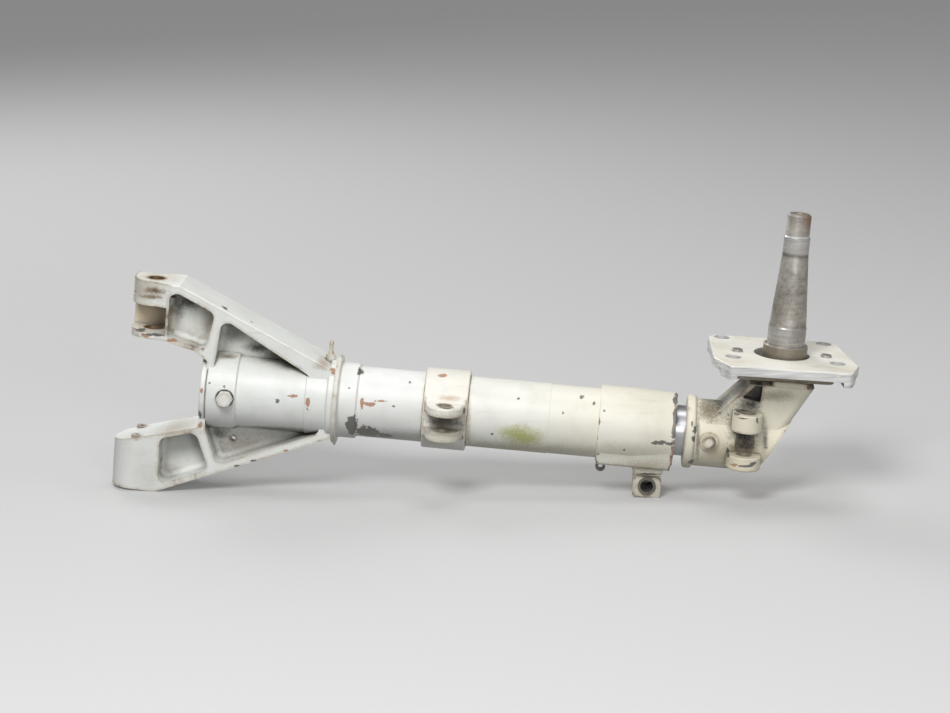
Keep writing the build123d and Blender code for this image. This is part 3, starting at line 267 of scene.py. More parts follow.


# What shows where the coat is gone, and the dirt and painted shade that lie on it.
salmon_primer, grey_metal = (0.43, 0.25, 0.165), (0.19, 0.185, 0.17)
smudge_grey, scuff_grey, dust_and_shade_brown = (0.46, 0.43, 0.36), (0.34, 0.32, 0.29), (0.30, 0.27, 0.21)
rim_brown, joint_brown, soot_and_shade_black = (0.38, 0.32, 0.18), (0.055, 0.042, 0.028), (0.026, 0.023, 0.018)
rim_reach, pocket_reach, joint_reach = 0.005, 0.028, 0.004
small_mark, middling_mark = 0.003, 0.009


def worn_paint(name, coat, aged, seed, chips=0.0, grime_and_shade=1.0, wear=1.0, shell=0.0, creamier=None,
               bands=(), marks=()):
    """Chipped paint. Edges wear only outside the thin shell round the strut, and the coat may grow
    creamier along it. A band is extra wear between two places along the strut. A mark is a chip down
    to the primer or to bare metal, or a stain's colour and strength, then its place and half sizes."""
    tree, shader, material = new_finish(name)
    where = add(tree, "ShaderNodeTexCoord").outputs["Object"]
    cloud = blotches(tree, where, 9, seed)
    speck = blotches(tree, where, 70, seed + 3, detail=9, roughness=0.68)
    fine = blotches(tree, where, 260, seed + 5, detail=5, roughness=0.6)
    grain = blotches(tree, where, 620, seed + 6, detail=3)
    mottle = sum_of(tree, times(tree, speck, 0.6), times(tree, fine, 0.4))
    peppered = sum_of(tree, times(tree, speck, 0.5), times(tree, fine, 0.3), times(tree, grain, 0.6),
                      -0.2)
    edge = edges_of(tree, rim_reach)
    if shell:
        edge = times(tree, edge, fade(tree, from_axis(tree, where), shell, shell + 0.002))
    hollow = hollows_of(tree, pocket_reach)

    # The coat, aged in clouds, smudged, scuffed along the leg, and dusty and darkened with painted
    # shade in its hollows.
    colour = tint(tree, fade(tree, cloud, 0.36, 0.66), coat, aged)
    if creamier:
        colour = tint(tree, fade(tree, along_strut(tree, where), 0.28, 0.47), colour, creamier)
    smudge = fade(tree, blotches(tree, where, 34, seed + 8), 0.50, 0.74)
    colour = tint(tree, times(tree, smudge, 0.28), colour, smudge_grey)
    scuffs = blotches(tree, where, 30, seed + 9, detail=5, stretch=(0.5, 4.0, 7.0))
    colour = tint(tree, times(tree, fade(tree, scuffs, 0.62, 0.70), 0.15), colour, scuff_grey)
    # Painted shade: hollows are tinted towards a brown grey, mixed with cloudy dust.
    dust_and_shade = fade(tree, sum_of(tree, hollow, times(tree, cloud, 0.5)), 0.42, 0.95)
    colour = tint(tree, times(tree, dust_and_shade, 0.42 * grime_and_shade), colour, dust_and_shade_brown)

    # Edges painted lighter as a highlight, with a broken brown line, and more wear on the back.
    # Painted highlight: outer edges are tinted a little lighter than the coat.
    rubbed_and_highlit = times(tree, fade(tree, edge, 0.10, 0.45), 0.6)
    colour = tint(tree, rubbed_and_highlit, colour, [min(1, one * 1.08) for one in coat])
    rim = fade(tree, sum_of(tree, edge, times(tree, fine, 0.55), times(tree, speck, 0.35)), 0.68, 0.78)
    colour = tint(tree, times(tree, rim, 0.48), colour, rim_brown)
    depth = add(tree, "ShaderNodeSeparateXYZ", {0: where}).outputs["Y"]
    rough_side = times(tree, fade(tree, depth, 0.006, 0.020), 0.035)
    worn = sum_of(tree, speck, times(tree, edge, 0.30 * wear), rough_side, chips)
    for low, high, amount in bands:
        stripe = between(tree, along_strut(tree, where), low, high, 0.0012)
        worn = sum_of(tree, worn, times(tree, stripe, amount))
    primer = fade(tree, worn, 0.745, 0.755)
    bare = fade(tree, worn, 0.785, 0.795)

    # Small round chips, a few to each ten centimetres.
    cells = add(tree, "ShaderNodeTexVoronoi", {"Vector": where, "Scale": 48.0})
    chance = add(tree, "ShaderNodeSeparateXYZ", {0: cells.outputs["Color"]})
    near = sum_of(tree, cells.outputs["Distance"], times(tree, grain, 0.11),
                  times(tree, chance.outputs["X"], 0.22))
    bare = most(tree, bare, less(tree, 1.0, fade(tree, near, 0.128, 0.134)))

    # The marks at their own places, the small ones with a finer border.
    for kind, place, size in marks:
        width = max(size[0], size[2])
        ragged = grain if width < small_mark else fine if width < middling_mark else mottle
        if kind == "primer":
            primer = most(tree, primer, patch_of(tree, where, place, size, ragged))
        elif kind == "bare":
            bare = most(tree, bare, patch_of(tree, where, place, size, ragged))
        else:
            stain = stain_of(tree, where, place, size, peppered)
            colour = tint(tree, times(tree, stain, kind[3]), colour, kind[:3])
    colour = tint(tree, primer, colour, salmon_primer)
    colour = tint(tree, bare, colour, grey_metal)

    # Dirt packed in the joints, and soot with painted shade deep in the pockets, lie over all of it.
    joint = fade(tree, sum_of(tree, hollows_of(tree, joint_reach), times(tree, fine, 0.35)), 0.50, 0.80)
    colour = tint(tree, times(tree, joint, 0.62), colour, joint_brown)
    # Painted shade: deep hollows are tinted near black, broken up by specks of soot.
    soot_and_shade = sum_of(tree, times(tree, hollow, 0.9), times(tree, speck, 0.8))
    soot_and_shade = times(tree, fade(tree, soot_and_shade, 0.80, 1.12), 0.8 * grime_and_shade)
    tree.links.new(tint(tree, soot_and_shade, colour, soot_and_shade_black), shader.inputs["Base Color"])

    tree.links.new(spread(tree, speck, 0.28, 0.62), shader.inputs["Roughness"])
    tree.links.new(times(tree, bare, 0.5), shader.inputs["Metallic"])
    chipped = times(tree, sum_of(tree, primer, bare), -0.35)
    height = sum_of(tree, chipped, times(tree, grain, 0.08), times(tree, fine, 0.14),
                    times(tree, speck, 0.25))
    relief(tree, shader, height, 0.0004, 0.8)
    return material


def dress(material, *names):
    """Puts one finish on nodes of the frame or on new pieces."""
    for name in names:
        piece = nodes.get(name) or bpy.data.objects[name]
        piece.data.materials.clear()
        piece.data.materials.append(material)


# The marks are at the places where the real leg has them, in metres.
soot, dust, rust = (0.025, 0.024, 0.021), (0.34, 0.29, 0.20), (0.19, 0.085, 0.04)
housing_marks = (
    ("bare", (-0.2019, -0.038, 0.0985), (0.0021, 0.004, 0.0018)),
    ("bare", (-0.2552, -0.0387, 0.1129), (0.0013, 0.004, 0.0011)),
    ("primer", (-0.1863, -0.0371, 0.1035), (0.0042, 0.004, 0.0017)),
    ("primer", (-0.1715, -0.0391, 0.0971), (0.0022, 0.004, 0.0058)),
    ("primer", (-0.1465, -0.0267, 0.1284), (0.0028, 0.006, 0.0032)),
    ("bare", (-0.2553, -0.0196, 0.1891), (0.0042, 0.004, 0.0020)),
    ("bare", (-0.3250, -0.024, 0.1618), (0.0130, 0.006, 0.0016)),
    ("primer", (-0.3345, -0.022, 0.1608), (0.0040, 0.006, 0.0018)),
    ("primer", (-0.3080, -0.027, 0.1570), (0.0050, 0.006, 0.0014)),
    ("bare", (-0.2808, -0.033, 0.0818), (0.0016, 0.006, 0.0040)),
    ("primer", (-0.2778, -0.0392, 0.1082), (0.0012, 0.005, 0.0030)),
    ("primer", (-0.2810, -0.029, 0.0704), (0.0022, 0.005, 0.0030)),
    ("bare", (-0.2287, -0.0290, 0.0338), (0.0030, 0.006, 0.0012)),
    ("bare", (-0.2440, -0.0290, 0.0283), (0.0040, 0.006, 0.0011)),
    ("bare", (-0.2790, -0.0290, 0.0150), (0.0026, 0.006, 0.0011)),
    ("primer", (-0.2940, -0.0290, 0.0095), (0.0040, 0.006, 0.0011)),
    ("primer", (-0.1960, -0.0290, 0.0450), (0.0030, 0.006, 0.0012)),
    ((0.17, 0.13, 0.08, 0.85), (-0.2540, -0.0148, 0.1382), (0.0100, 0.012, 0.0020)),
    ((0.62, 0.50, 0.34, 0.85), (-0.3360, 0.013, 0.176), (0.030, 0.036, 0.022)),
    ((0.22, 0.15, 0.08, 0.80), (-0.3180, 0.013, 0.186), (0.012, 0.036, 0.008)),
    ("bare", (-0.3360, -0.016, 0.1905), (0.0050, 0.010, 0.0010)),
    ("primer", (-0.3070, -0.027, 0.1990), (0.0018, 0.010, 0.0040)),
    ("bare", (-0.3400, -0.018, 0.1655), (0.0040, 0.010, 0.0014)),
    ((0.42, 0.35, 0.25, 0.70), (-0.3330, -0.015, 0.2060), (0.026, 0.022, 0.013)),
    ((0.42, 0.36, 0.26, 0.60), (-0.3300, 0.005, 0.2150), (0.030, 0.030, 0.005)),
    ((0.15, 0.10, 0.055, 0.95), (-0.3240, -0.022, 0.2066), (0.0135, 0.008, 0.0034)),
    ((0.20, 0.15, 0.09, 0.9), (-0.3270, -0.021, 0.2005), (0.0125, 0.008, 0.0022)),
    ((*soot, 0.90), (-0.2930, -0.004, 0.1925), (0.017, 0.020, 0.0085)),
    ((*soot, 0.60), (-0.3050, -0.004, 0.1830), (0.007, 0.020, 0.012)),
    ((*dust, 0.50), (-0.2730, -0.004, 0.1680), (0.010, 0.020, 0.016)),
    ((*soot, 0.92), (-0.2240, -0.006, 0.1452), (0.014, 0.020, 0.0055)),
    ((*soot, 0.92), (-0.2060, -0.010, 0.1375), (0.013, 0.020, 0.0050)),
    ((*soot, 0.70), (-0.1890, -0.016, 0.1305), (0.012, 0.020, 0.0040)),
    ((*soot, 0.60), (-0.2490, -0.004, 0.1590), (0.012, 0.020, 0.0090)),
    ((0.14, 0.13, 0.11, 0.80), (-0.2130, -0.020, 0.0648), (0.040, 0.020, 0.0045)),
    ((0.20, 0.18, 0.14, 0.70), (-0.2400, -0.004, 0.0440), (0.034, 0.020, 0.017)),
    ((*soot, 0.75), (-0.2660, -0.004, 0.0560), (0.010, 0.020, 0.0060)),
    ((0.36, 0.38, 0.37, 0.50), (-0.2960, -0.004, 0.0420), (0.030, 0.024, 0.016)),
    ((*dust, 0.60), (-0.3100, -0.010, 0.0630), (0.046, 0.030, 0.0045)),
    ((*rust, 0.85), (-0.3465, -0.0225, 0.0550), (0.0065, 0.005, 0.0035)),
    ((*rust, 0.75), (-0.3465, 0.0175, 0.0567), (0.0070, 0.005, 0.0035)),
    ((*rust, 0.90), (-0.2514, -0.0044, 0.0503), (0.0045, 0.008, 0.0042)),
    ((*rust, 0.80), (-0.2472, -0.014, 0.0649), (0.0045, 0.008, 0.0035)),
    ((0.30, 0.20, 0.10, 0.70), (-0.1580, -0.020, 0.1330), (0.010, 0.020, 0.0050)))
housing_paint = worn_paint("housing_paint", (0.80, 0.815, 0.79), (0.68, 0.69, 0.65), 1.0, grime_and_shade=0.9,
                           wear=1.15, shell=0.0405, bands=((0.0535, 0.0560, 0.10),),
                           marks=housing_marks)
dress(housing_paint, "trunnion_housing", "head_bolt")

# Cylinder. A steel tube screwed into the housing, painted a warmer white, with big flakes gone
# near the housing and a green smear of oil and dirt below its middle.
cylinder_marks = (
    ("bare", (-0.1280, -0.036, 0.0740), (0.0062, 0.020, 0.0125)),
    ("bare", (-0.1130, -0.030, 0.0640), (0.0125, 0.020, 0.0080)),
    ("bare", (-0.0960, -0.026, 0.0600), (0.0080, 0.020, 0.0030)),
    ("primer", (-0.1173, -0.0358, 0.0970), (0.0020, 0.004, 0.0062)),
    ("primer", (-0.1110, -0.0359, 0.0962), (0.0068, 0.004, 0.0020)),
    ("primer", (-0.0993, -0.035, 0.0988), (0.0052, 0.004, 0.0011)),
    ("bare", (-0.1209, -0.015, 0.1242), (0.0032, 0.008, 0.0030)),
    ("bare", (-0.0701, -0.0214, 0.1152), (0.0016, 0.004, 0.0010)),
    ("bare", (-0.1304, -0.033, 0.1116), (0.0012, 0.004, 0.0009)),
    ("bare", (-0.0857, -0.0359, 0.0939), (0.0015, 0.004, 0.0010)),
    ("bare", (0.0389, -0.0269, 0.1014), (0.0014, 0.004, 0.0010)),
    ("bare", (0.0123, -0.034, 0.0661), (0.0014, 0.004, 0.0010)),
    ("bare", (0.0835, -0.0328, 0.0884), (0.0012, 0.004, 0.0010)),
    ("bare", (0.1018, -0.0196, 0.1018), (0.0022, 0.004, 0.0012)),
    ("bare", (0.1143, -0.0249, 0.0967), (0.0012, 0.004, 0.0018)),
    ((0.35, 0.37, 0.07, 0.80), (0.0437, -0.0343, 0.0630), (0.021, 0.020, 0.013)),
    ((0.40, 0.40, 0.12, 0.55), (0.0290, -0.0330, 0.0690), (0.013, 0.020, 0.007)),
    ((0.40, 0.36, 0.20, 0.60), (0.0300, -0.0200, 0.0480), (0.090, 0.030, 0.009)),
    ((0.30, 0.29, 0.26, 0.60), (-0.0850, -0.0200, 0.0600), (0.050, 0.030, 0.010)),
    ((0.44, 0.34, 0.14, 0.70), (-0.0560, -0.0250, 0.0780), (0.0030, 0.020, 0.030)),
    ((0.36, 0.27, 0.12, 0.70), (-0.0120, -0.0250, 0.0800), (0.0040, 0.020, 0.030)))
cylinder_paint = worn_paint("cylinder_paint", (0.81, 0.82, 0.80), (0.71, 0.715, 0.68), 4.0,
                            grime_and_shade=0.5, shell=0.0400, creamier=(0.78, 0.755, 0.64),
                            bands=((0.4530, 0.4552, 0.09), (0.1930, 0.1960, 0.08)),
                            marks=cylinder_marks)
dress(cylinder_paint, "cylinder_tube", "lock_ring")

# Brace band. A forged band pushed over the cylinder, with two lugs for the side brace. The coat is
# near black in the gap between the lugs, and an uneven bead of old sealant stands at each edge of the
# band.
band_marks = (
    ("primer", (-0.0383, -0.0162, 0.1211), (0.0042, 0.008, 0.0012)),
    ((0.50, 0.33, 0.20, 0.65), (-0.0291, -0.0378, 0.1037), (0.0120, 0.006, 0.0034)),
    ("bare", (-0.0315, -0.0642, 0.1005), (0.0070, 0.006, 0.0014)),
    ("bare", (-0.0147, -0.0455, 0.0925), (0.0014, 0.006, 0.0030)),
    # Near black in the gap between the lugs.
    ((0.030, 0.022, 0.014, 0.95), (-0.0328, -0.043, 0.0800), (0.021, 0.026, 0.0095)),
    ((0.22, 0.18, 0.12, 0.70), (-0.0330, -0.050, 0.0925), (0.015, 0.030, 0.0050)),
    ((0.30, 0.25, 0.16, 0.60), (-0.0330, -0.055, 0.0680), (0.018, 0.030, 0.0120)))
band_paint = worn_paint("band_paint", (0.81, 0.80, 0.745), (0.72, 0.695, 0.60), 9.0, chips=0.005,
                        grime_and_shade=0.9, wear=1.2, shell=0.0415, marks=band_marks)
dress(band_paint, "side_brace_fitting")


def strut_place(x, y, z):
    """A place given along the strut, towards the back and along the wheel axle, in millimetres."""
    return Vector([start + (run * x + back * y + rise * z) / 1000
                   for start, run, back, rise in zip(strut_start, strut_run, (0, 1, 0), axle_rise)])


strut_slope = math.radians(4.6875)
bead_radius, bead_thickness = 0.0356, 0.0011


def sealant_bead(name, x):
    """A thin uneven bead of sealant round the strut, wiped on by hand."""
    bpy.ops.object.select_all(action="DESELECT")
    bpy.ops.mesh.primitive_torus_add(major_segments=120, minor_segments=8, major_radius=bead_radius,
                                     minor_radius=bead_thickness)
    bead = bpy.context.object
    bead.name = name
    bpy.ops.object.mode_set(mode="EDIT")
    bpy.ops.mesh.select_all(action="SELECT")
    bpy.ops.transform.vertex_random(offset=bead_thickness * 0.35, seed=3)
    bpy.ops.mesh.vertices_smooth(factor=0.5, repeat=2)
    bpy.ops.object.mode_set(mode="OBJECT")
    bead.rotation_euler = (0, math.pi / 2 + strut_slope, 0)
    bead.location = strut_place(x, 0, 0)
    bpy.ops.object.transform_apply(location=True, rotation=True, scale=True)
    bpy.ops.object.shade_smooth()
    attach(bead, "barrel")
    return bead


for name, x in (("band_bead_left", 279.0), ("band_bead_right", 323.0)):
    sealant_bead(name, x)
tree, shader, sealant = new_finish("sealant")
where = add(tree, "ShaderNodeTexCoord").outputs["Object"]
amber = fade(tree, blotches(tree, where, 90, 41.0), 0.38, 0.64)
tree.links.new(tint(tree, amber, (0.55, 0.45, 0.25), (0.22, 0.15, 0.07)), shader.inputs["Base Color"])
shader.inputs["Roughness"].default_value = 0.5
relief(tree, shader, blotches(tree, where, 300, 42.0), 0.0004, 1.0)
dress(sealant, "band_bead_left", "band_bead_right")

# Lower collar. The forged end of the cylinder with the upper torque link lug below it. Its cream
# coat ends in a ragged line where it was masked, and has flaked along the flat's edge.
collar_marks = (
    ("bare", (0.1805, -0.0386, 0.0603), (0.0078, 0.010, 0.0022)),
    ("bare", (0.1904, -0.0382, 0.0593), (0.0046, 0.010, 0.0015)),
    ("bare", (0.1953, -0.0170, 0.0985), (0.0024, 0.010, 0.0050)),
    ("bare", (0.1962, -0.0328, 0.0837), (0.0020, 0.010, 0.0060)),
    ("bare", (0.1945, -0.0382, 0.0696), (0.0026, 0.010, 0.0060)),
    ("bare", (0.1244, -0.0338, 0.0912), (0.0012, 0.004, 0.0010)),
    ("bare", (0.1188, -0.0321, 0.0464), (0.0012, 0.004, 0.0013)),
    ("bare", (0.1447, -0.0364, 0.0520), (0.0013, 0.004, 0.0010)),
    ("bare", (0.1701, -0.0224, 0.0236), (0.0140, 0.006, 0.0009)),
    ((0.36, 0.30, 0.19, 0.60), (0.1640, -0.0300, 0.0320), (0.030, 0.020, 0.010)),
    ((0.38, 0.36, 0.28, 0.75), (0.1690, -0.0200, 0.0100), (0.026, 0.040, 0.014)),
    ((0.46, 0.42, 0.30, 0.45), (0.1500, -0.0360, 0.0520), (0.050, 0.020, 0.010)))
collar_paint = worn_paint("collar_paint", (0.81, 0.79, 0.70), (0.70, 0.66, 0.53), 7.0, chips=0.012,
                          grime_and_shade=0.8, wear=1.2, shell=0.0405,
                          bands=((0.5280, 0.5330, 0.25), (0.4540, 0.4565, 0.12)),
                          marks=collar_marks)
dress(collar_paint, "lower_collar")

# Axle fitting. A forging bolted to the piston. The coat has turned cream and is oily: black in the
# recess under the pad, painted black as shadow in the slot between the torque link ears, and chipped
# on the bead.
fitting_marks = (
    ("bare", (0.2151, -0.0353, 0.0732), (0.0022, 0.008, 0.0045)),
    ("bare", (0.2135, -0.0350, 0.0650), (0.0016, 0.008, 0.0035)),
    ("bare", (0.2120, -0.0360, 0.0790), (0.0010, 0.008, 0.0030)),
    ("bare", (0.2475, -0.0430, 0.0890), (0.0016, 0.012, 0.0045)),
    ("bare", (0.2480, -0.0400, 0.0520), (0.0014, 0.014, 0.0040)),
    ("bare", (0.2360, -0.0320, 0.0900), (0.0050, 0.010, 0.0011)),
    ((0.07, 0.055, 0.04, 0.85), (0.2850, -0.0380, 0.0640), (0.0030, 0.020, 0.012)),
    ("bare", (0.2119, -0.0273, 0.0380), (0.0026, 0.008, 0.0030)),
    ("bare", (0.2623, -0.0371, 0.0928), (0.0100, 0.008, 0.0016)),
    ("bare", (0.2660, -0.0577, 0.0425), (0.0090, 0.006, 0.0012)),
    ("primer", (0.2540, -0.0560, 0.0430), (0.0030, 0.006, 0.0016)),
    ("bare", (0.2860, -0.0350, 0.0555), (0.0014, 0.004, 0.0012)),
    ("bare", (0.2600, -0.0560, 0.0905), (0.0060, 0.006, 0.0009)),
    ((*soot, 0.85), (0.2400, -0.0020, 0.0950), (0.020, 0.034, 0.018)),
    ((*soot, 0.80), (0.2600, 0.0020, 0.1160), (0.016, 0.034, 0.016)),
    ((0.14, 0.115, 0.08, 0.70), (0.2310, -0.0190, 0.0880), (0.012, 0.012, 0.012)),
    ((0.20, 0.16, 0.10, 0.70), (0.2271, -0.0199, 0.0900), (0.010, 0.020, 0.010)),
    ((*soot, 0.97), (0.2748, -0.0165, 0.1060), (0.0095, 0.020, 0.0110)),
    ((*soot, 0.92), (0.2690, -0.0305, 0.0985), (0.0120, 0.014, 0.0080)),
    ("bare", (0.2550, -0.0520, 0.0935), (0.0040, 0.010, 0.0014)),
    ("bare", (0.2760, -0.0560, 0.0880), (0.0012, 0.006, 0.0040)),
    ("bare", (0.2730, -0.0570, 0.0445), (0.0040, 0.006, 0.0016)),
    ((0.12, 0.10, 0.07, 0.75), (0.2600, -0.0297, 0.0560), (0.0160, 0.012, 0.0060)),
    ((0.26, 0.20, 0.12, 0.60), (0.2950, -0.0303, 0.1080), (0.0160, 0.012, 0.0060)),
    ((0.40, 0.33, 0.21, 0.55), (0.2500, -0.0320, 0.0480), (0.030, 0.020, 0.012)),
    ((0.10, 0.085, 0.06, 0.75), (0.2180, -0.0340, 0.0640), (0.0022, 0.020, 0.030)),
    # Painted shadow: a near-black patch in the slot under the upper torque link ear.
    ((0.008, 0.007, 0.006, 1.0), (0.2640, -0.0297, 0.0665), (0.0165, 0.008, 0.0190)))
fitting_paint = worn_paint("fitting_paint", (0.81, 0.78, 0.665), (0.70, 0.645, 0.49), 11.0,
                           chips=0.015, wear=1.3, bands=((0.5425, 0.5455, 0.05),),
                           marks=fitting_marks)
dress(fitting_paint, "axle_fitting")

# Brake torque plate. Milled aluminium plate with four holes for the brake's bolts. The top keeps a
# cream coat, darkened with dirt and painted shade in the bore and hollows, and its thin sides are
# rubbed to bright scratched metal.
plate_coat, aged_plate_coat, plate_dirt_and_shade = (0.82, 0.805, 0.73), (0.70, 0.655, 0.53), (0.10, 0.085, 0.065)
bright_metal, dull_metal, pitted_metal = (0.80, 0.80, 0.78), (0.46, 0.46, 0.45), (0.20, 0.19, 0.17)
tree, shader, plate_finish = new_finish("plate_finish")
where = add(tree, "ShaderNodeTexCoord").outputs["Object"]
speck = blotches(tree, where, 70, 15.0, detail=9, roughness=0.68)
scratch = blotches(tree, where, 130, 16.0, detail=6, stretch=(0.12, 0.6, 2.2))
facing = add(tree, "ShaderNodeNewGeometry").outputs["Normal"]
flat = add(tree, "ShaderNodeMath", {0: along(tree, facing, axle_rise)}, operation="ABSOLUTE").outputs[0]
side = less(tree, 1.0, fade(tree, flat, 0.55, 0.85))
coat = tint(tree, fade(tree, blotches(tree, where, 30, 17.0), 0.40, 0.66), plate_coat, aged_plate_coat)
# Painted shade with dirt: hollows and specks tint the coat dark.
dirt_and_shade = sum_of(tree, times(tree, hollows_of(tree, 0.02), 0.9), times(tree, speck, 0.7))
coat = tint(tree, times(tree, fade(tree, dirt_and_shade, 0.62, 0.95), 0.75), coat, plate_dirt_and_shade)
coat = tint(tree, times(tree, fade(tree, scratch, 0.60, 0.70), 0.5), coat, (0.30, 0.27, 0.22))
metal = tint(tree, fade(tree, scratch, 0.40, 0.66), bright_metal, dull_metal)
metal = tint(tree, fade(tree, speck, 0.62, 0.68), metal, pitted_metal)
rubbed_and_highlit = sum_of(tree, times(tree, side, 0.42), times(tree, edges_of(tree, 0.004), 0.5), speck)
rubbed_and_highlit = fade(tree, rubbed_and_highlit, 0.74, 0.80)
tree.links.new(tint(tree, rubbed_and_highlit, coat, metal), shader.inputs["Base Color"])
tree.links.new(times(tree, rubbed_and_highlit, 0.45), shader.inputs["Metallic"])
tree.links.new(spread(tree, scratch, 0.30, 0.60), shader.inputs["Roughness"])
height = sum_of(tree, times(tree, scratch, 0.5), times(tree, rubbed_and_highlit, -0.4), times(tree, speck, 0.3))
relief(tree, shader, height, 0.0003, 0.7)
dress(plate_finish, "brake_torque_plate")

# Axle. Turned steel, never painted: a dull mottled taper between two ground bearing seats, brown
# where the wheel's grease dried, and rusty on the thread. Heights are metres above the strut's line.
axle_foot = 0.080052
shoulder_top = 0.0980
inner_seat, outer_seat = (0.0990, 0.1180), (0.1925, 0.2090)
black_line, bright_step = (0.1885, 0.1925), (0.2084, 0.2102)


def turned_steel(name, seed, rusty):
    """Dark steel with rings that follow the axle: bright seats, a black line above the taper and
    rust on the thread."""
    tree, shader, material = new_finish(name)
    where = add(tree, "ShaderNodeTexCoord").outputs["Object"]
    rise = less(tree, along(tree, where, axle_rise), axle_foot)
    cloud = blotches(tree, where, 38, seed, detail=8, roughness=0.66)
    fine = blotches(tree, where, 240, seed + 1, detail=5)
    rings = blotches(tree, where, 60, seed + 2, detail=6, stretch=(0.35, 0.35, 9.0))
    mix = sum_of(tree, times(tree, cloud, 0.6), times(tree, fine, 0.25), times(tree, rings, 0.15))
    colour = tint(tree, fade(tree, mix, 0.38, 0.62), (0.58, 0.555, 0.505), (0.19, 0.175, 0.15))
    brown = times(tree, fade(tree, blotches(tree, where, 24, seed + 4), 0.46, 0.66), 0.5)
    colour = tint(tree, brown, colour, (0.20, 0.155, 0.105))
    seats = most(tree, between(tree, rise, *inner_seat, 0.0006),
                 between(tree, rise, *outer_seat, 0.0006))
    bright = tint(tree, fade(tree, rings, 0.40, 0.62), (0.55, 0.55, 0.56), (0.34, 0.33, 0.32))
    colour = tint(tree, times(tree, seats, 0.38), colour, bright)
    line = times(tree, between(tree, rise, *black_line, 0.0014), 0.6)
    colour = tint(tree, line, colour, (0.05, 0.045, 0.038))
    step = times(tree, between(tree, rise, *bright_step, 0.0003), 0.8)
    colour = tint(tree, step, colour, (0.72, 0.72, 0.72))
    above_shoulder = fade(tree, rise, shoulder_top - 0.0005, shoulder_top + 0.0005)
    colour = tint(tree, times(tree, less(tree, 1.0, above_shoulder), 0.75), colour, (0.22, 0.19, 0.14))
    rust_patch = stain_of(tree, where, (0.3270, -0.004, 0.2830), (0.009, 0.016, 0.012), fine)
    colour = tint(tree, times(tree, rust_patch, rusty), colour, (0.28, 0.12, 0.045))
    tree.links.new(colour, shader.inputs["Base Color"])
    shader.inputs["Metallic"].default_value = 0.62
    values = {"Value": mix, "From Min": 0.35, "From Max": 0.65, "To Min": 0.34, "To Max": 0.60}
    rough = add(tree, "ShaderNodeMapRange", values).outputs[0]
    tree.links.new(less(tree, rough, times(tree, seats, 0.10)), shader.inputs["Roughness"])
    height = sum_of(tree, times(tree, fine, 0.5), times(tree, rings, 0.5), times(tree, cloud, 0.4))
    relief(tree, shader, height, 0.0003, 0.6)
    return material


dress(turned_steel("axle_steel", 23.0, 0.7), "axle_spindle")

# Axle thread. The turns for the wheel nut, cut on the axle's end. They are modelled as closed
# grooves that stand round the plain end of the axle.
thread_radius, thread_length, thread_middle = 0.01205, 0.0190, 0.2200
pitch, cuts, groove = 0.00076, 24, 0.955
thread_start = thread_middle - thread_length / 2
axle_from_pins = 634.0
bpy.ops.object.select_all(action="DESELECT")
bpy.ops.mesh.primitive_cylinder_add(vertices=72, radius=thread_radius, depth=thread_length,
                                    location=(0, 0, thread_middle))
thread = bpy.context.object
thread.name = "axle_thread"
bpy.ops.object.mode_set(mode="EDIT")
for cut in range(1, cuts + 1):
    bpy.ops.mesh.select_all(action="SELECT")
    bpy.ops.mesh.bisect(plane_co=(0, 0, thread_start + cut * pitch), plane_no=(0, 0, 1))
bpy.ops.mesh.select_all(action="DESELECT")
bpy.ops.mesh.select_mode(type="VERT")
bpy.ops.object.mode_set(mode="OBJECT")
for corner in thread.data.vertices:
    corner.select = round((corner.co.z + thread_length / 2) / pitch) % 2 == 0
bpy.ops.object.mode_set(mode="EDIT")
bpy.ops.transform.resize(value=(groove, groove, 1.0), center_override=(0, 0, thread_middle))
bpy.ops.object.mode_set(mode="OBJECT")
bpy.ops.object.shade_smooth_by_angle(angle=math.radians(20))
bpy.ops.object.transform_apply(location=True, rotation=True, scale=True)
thread.rotation_euler = (0, strut_slope, 0)
thread.location = strut_place(axle_from_pins, 0, 0)
bpy.ops.object.transform_apply(location=True, rotation=True, scale=True)
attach(thread, "lower_leg")
dress(turned_steel("thread_steel", 24.0, 1.0), "axle_thread")

# Piston. A steel tube with hard chrome on it, ground so that it slides in the lower bearing. It
# shows as a strip between the collar and the axle fitting, and at full length when the leg is out.


def bare_metal(name, colour, dark, seed, roughness=0.35, metallic=1.0):
    """Metal without paint, cloudy with handling and finely marked."""
    tree, shader, material = new_finish(name)
    where = add(tree, "ShaderNodeTexCoord").outputs["Object"]
    cloud = blotches(tree, where, 22, seed)
    lines = blotches(tree, where, 160, seed + 2, detail=4)
    amount = fade(tree, sum_of(tree, times(tree, cloud, 0.6), times(tree, lines, 0.4)), 0.36, 0.66)
    tree.links.new(tint(tree, amount, colour, dark), shader.inputs["Base Color"])
    shader.inputs["Metallic"].default_value = metallic
    rough = spread(tree, lines, roughness * 0.7, roughness * 1.4)
    tree.links.new(rough, shader.inputs["Roughness"])
    relief(tree, shader, lines, 0.0001, 0.5)
    return material


dress(bare_metal("piston_chrome", (0.55, 0.55, 0.57), (0.44, 0.44, 0.46), 21.0, roughness=0.36),
      "piston_tube")
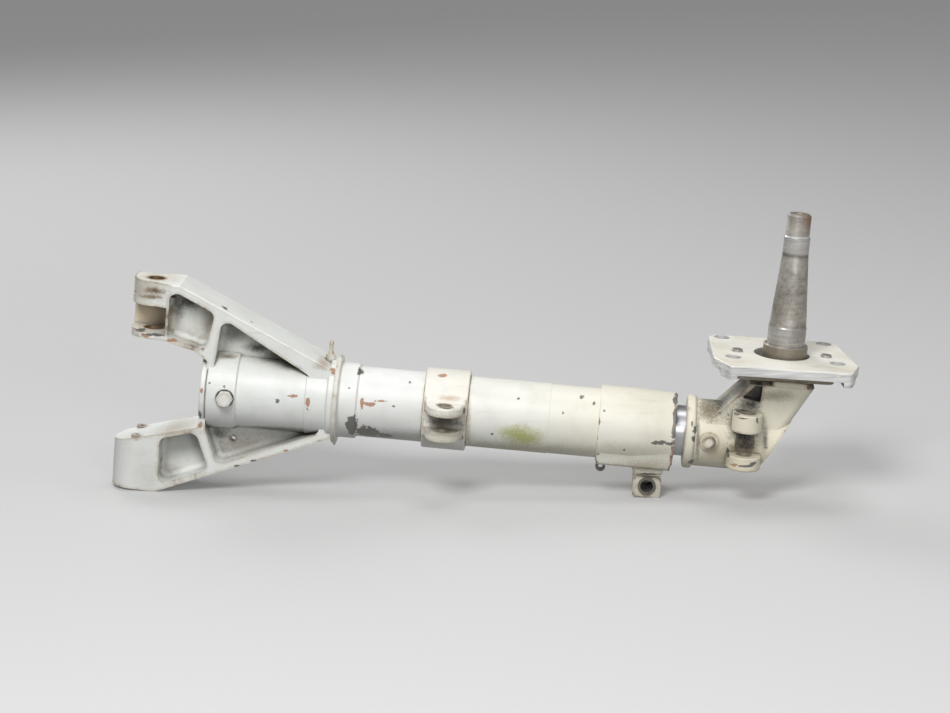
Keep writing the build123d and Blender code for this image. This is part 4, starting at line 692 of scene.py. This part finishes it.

# Fasteners and fittings. Plated bolts, nuts, valve and rings, gone grey. The line clip and the torque
# link lug's bushes are oily, the washers under the housing's bolt are painted near black as a shadow
# outline round the bolt's head, and the bolt through the axle fitting was painted with the fitting.
dress(bare_metal("plated_steel", (0.50, 0.49, 0.46), (0.26, 0.24, 0.21), 25.0, 0.42, 0.85),
      "head_bolt_nut", "filler_valve", "valve_cap", "fork_bolt_nut", "axle_cross_pin", "snap_ring",
      "piston_snap_ring", "orifice_plate", "plate_bolts")
dress(bare_metal("oily_steel", (0.24, 0.23, 0.20), (0.10, 0.095, 0.08), 35.0, 0.5, 0.6),
      "line_clip", "torque_lug_bushes")
dress(bare_metal("zinc_nipple", (0.70, 0.66, 0.54), (0.46, 0.40, 0.28), 33.0, 0.4, 0.6),
      "grease_fitting")
# Painted shadow: the washers are near black, so a dark outline shows round the bolt's hex head.
dress(bare_metal("washer_painted_shadow", (0.10, 0.095, 0.085), (0.05, 0.045, 0.04), 26.0, 0.6, 0.2),
      "head_bolt_washers")
dress(worn_paint("bolt_paint", (0.76, 0.73, 0.62), (0.60, 0.54, 0.40), 37.0, chips=0.03, wear=1.4),
      "fork_bolt")

# Bushes and bearings. Bronze rings pressed into the lugs and into the cylinder's end, dull brown
# inside. Those of the side brace and of the torque link are rubbed grey on their faces.
dress(bare_metal("bronze", (0.40, 0.30, 0.18), (0.21, 0.15, 0.09), 27.0, 0.45, 0.85),
      "fork_bushes", "foot_bush", "lower_bearing", "piston_bearing")
dress(bare_metal("greasy_bush", (0.52, 0.49, 0.40), (0.28, 0.24, 0.17), 28.0, 0.5, 0.6),
      "side_brace_bushes", "torque_ear_bushes")

# Inner parts. Turned aluminium parts and black rubber seals inside the cylinder. Only the cylinder
# head shows, through the open end of the housing.
dress(bare_metal("machined_aluminium", (0.60, 0.60, 0.60), (0.42, 0.42, 0.42), 29.0),
      "cylinder_head", "gland_ring", "orifice_tube", "piston_plug", "metering_pin")
dress(bare_metal("black_rubber", (0.018, 0.018, 0.018), (0.03, 0.03, 0.03), 31.0, 0.7, 0.0),
      "head_seal", "piston_seals", "plug_seal")
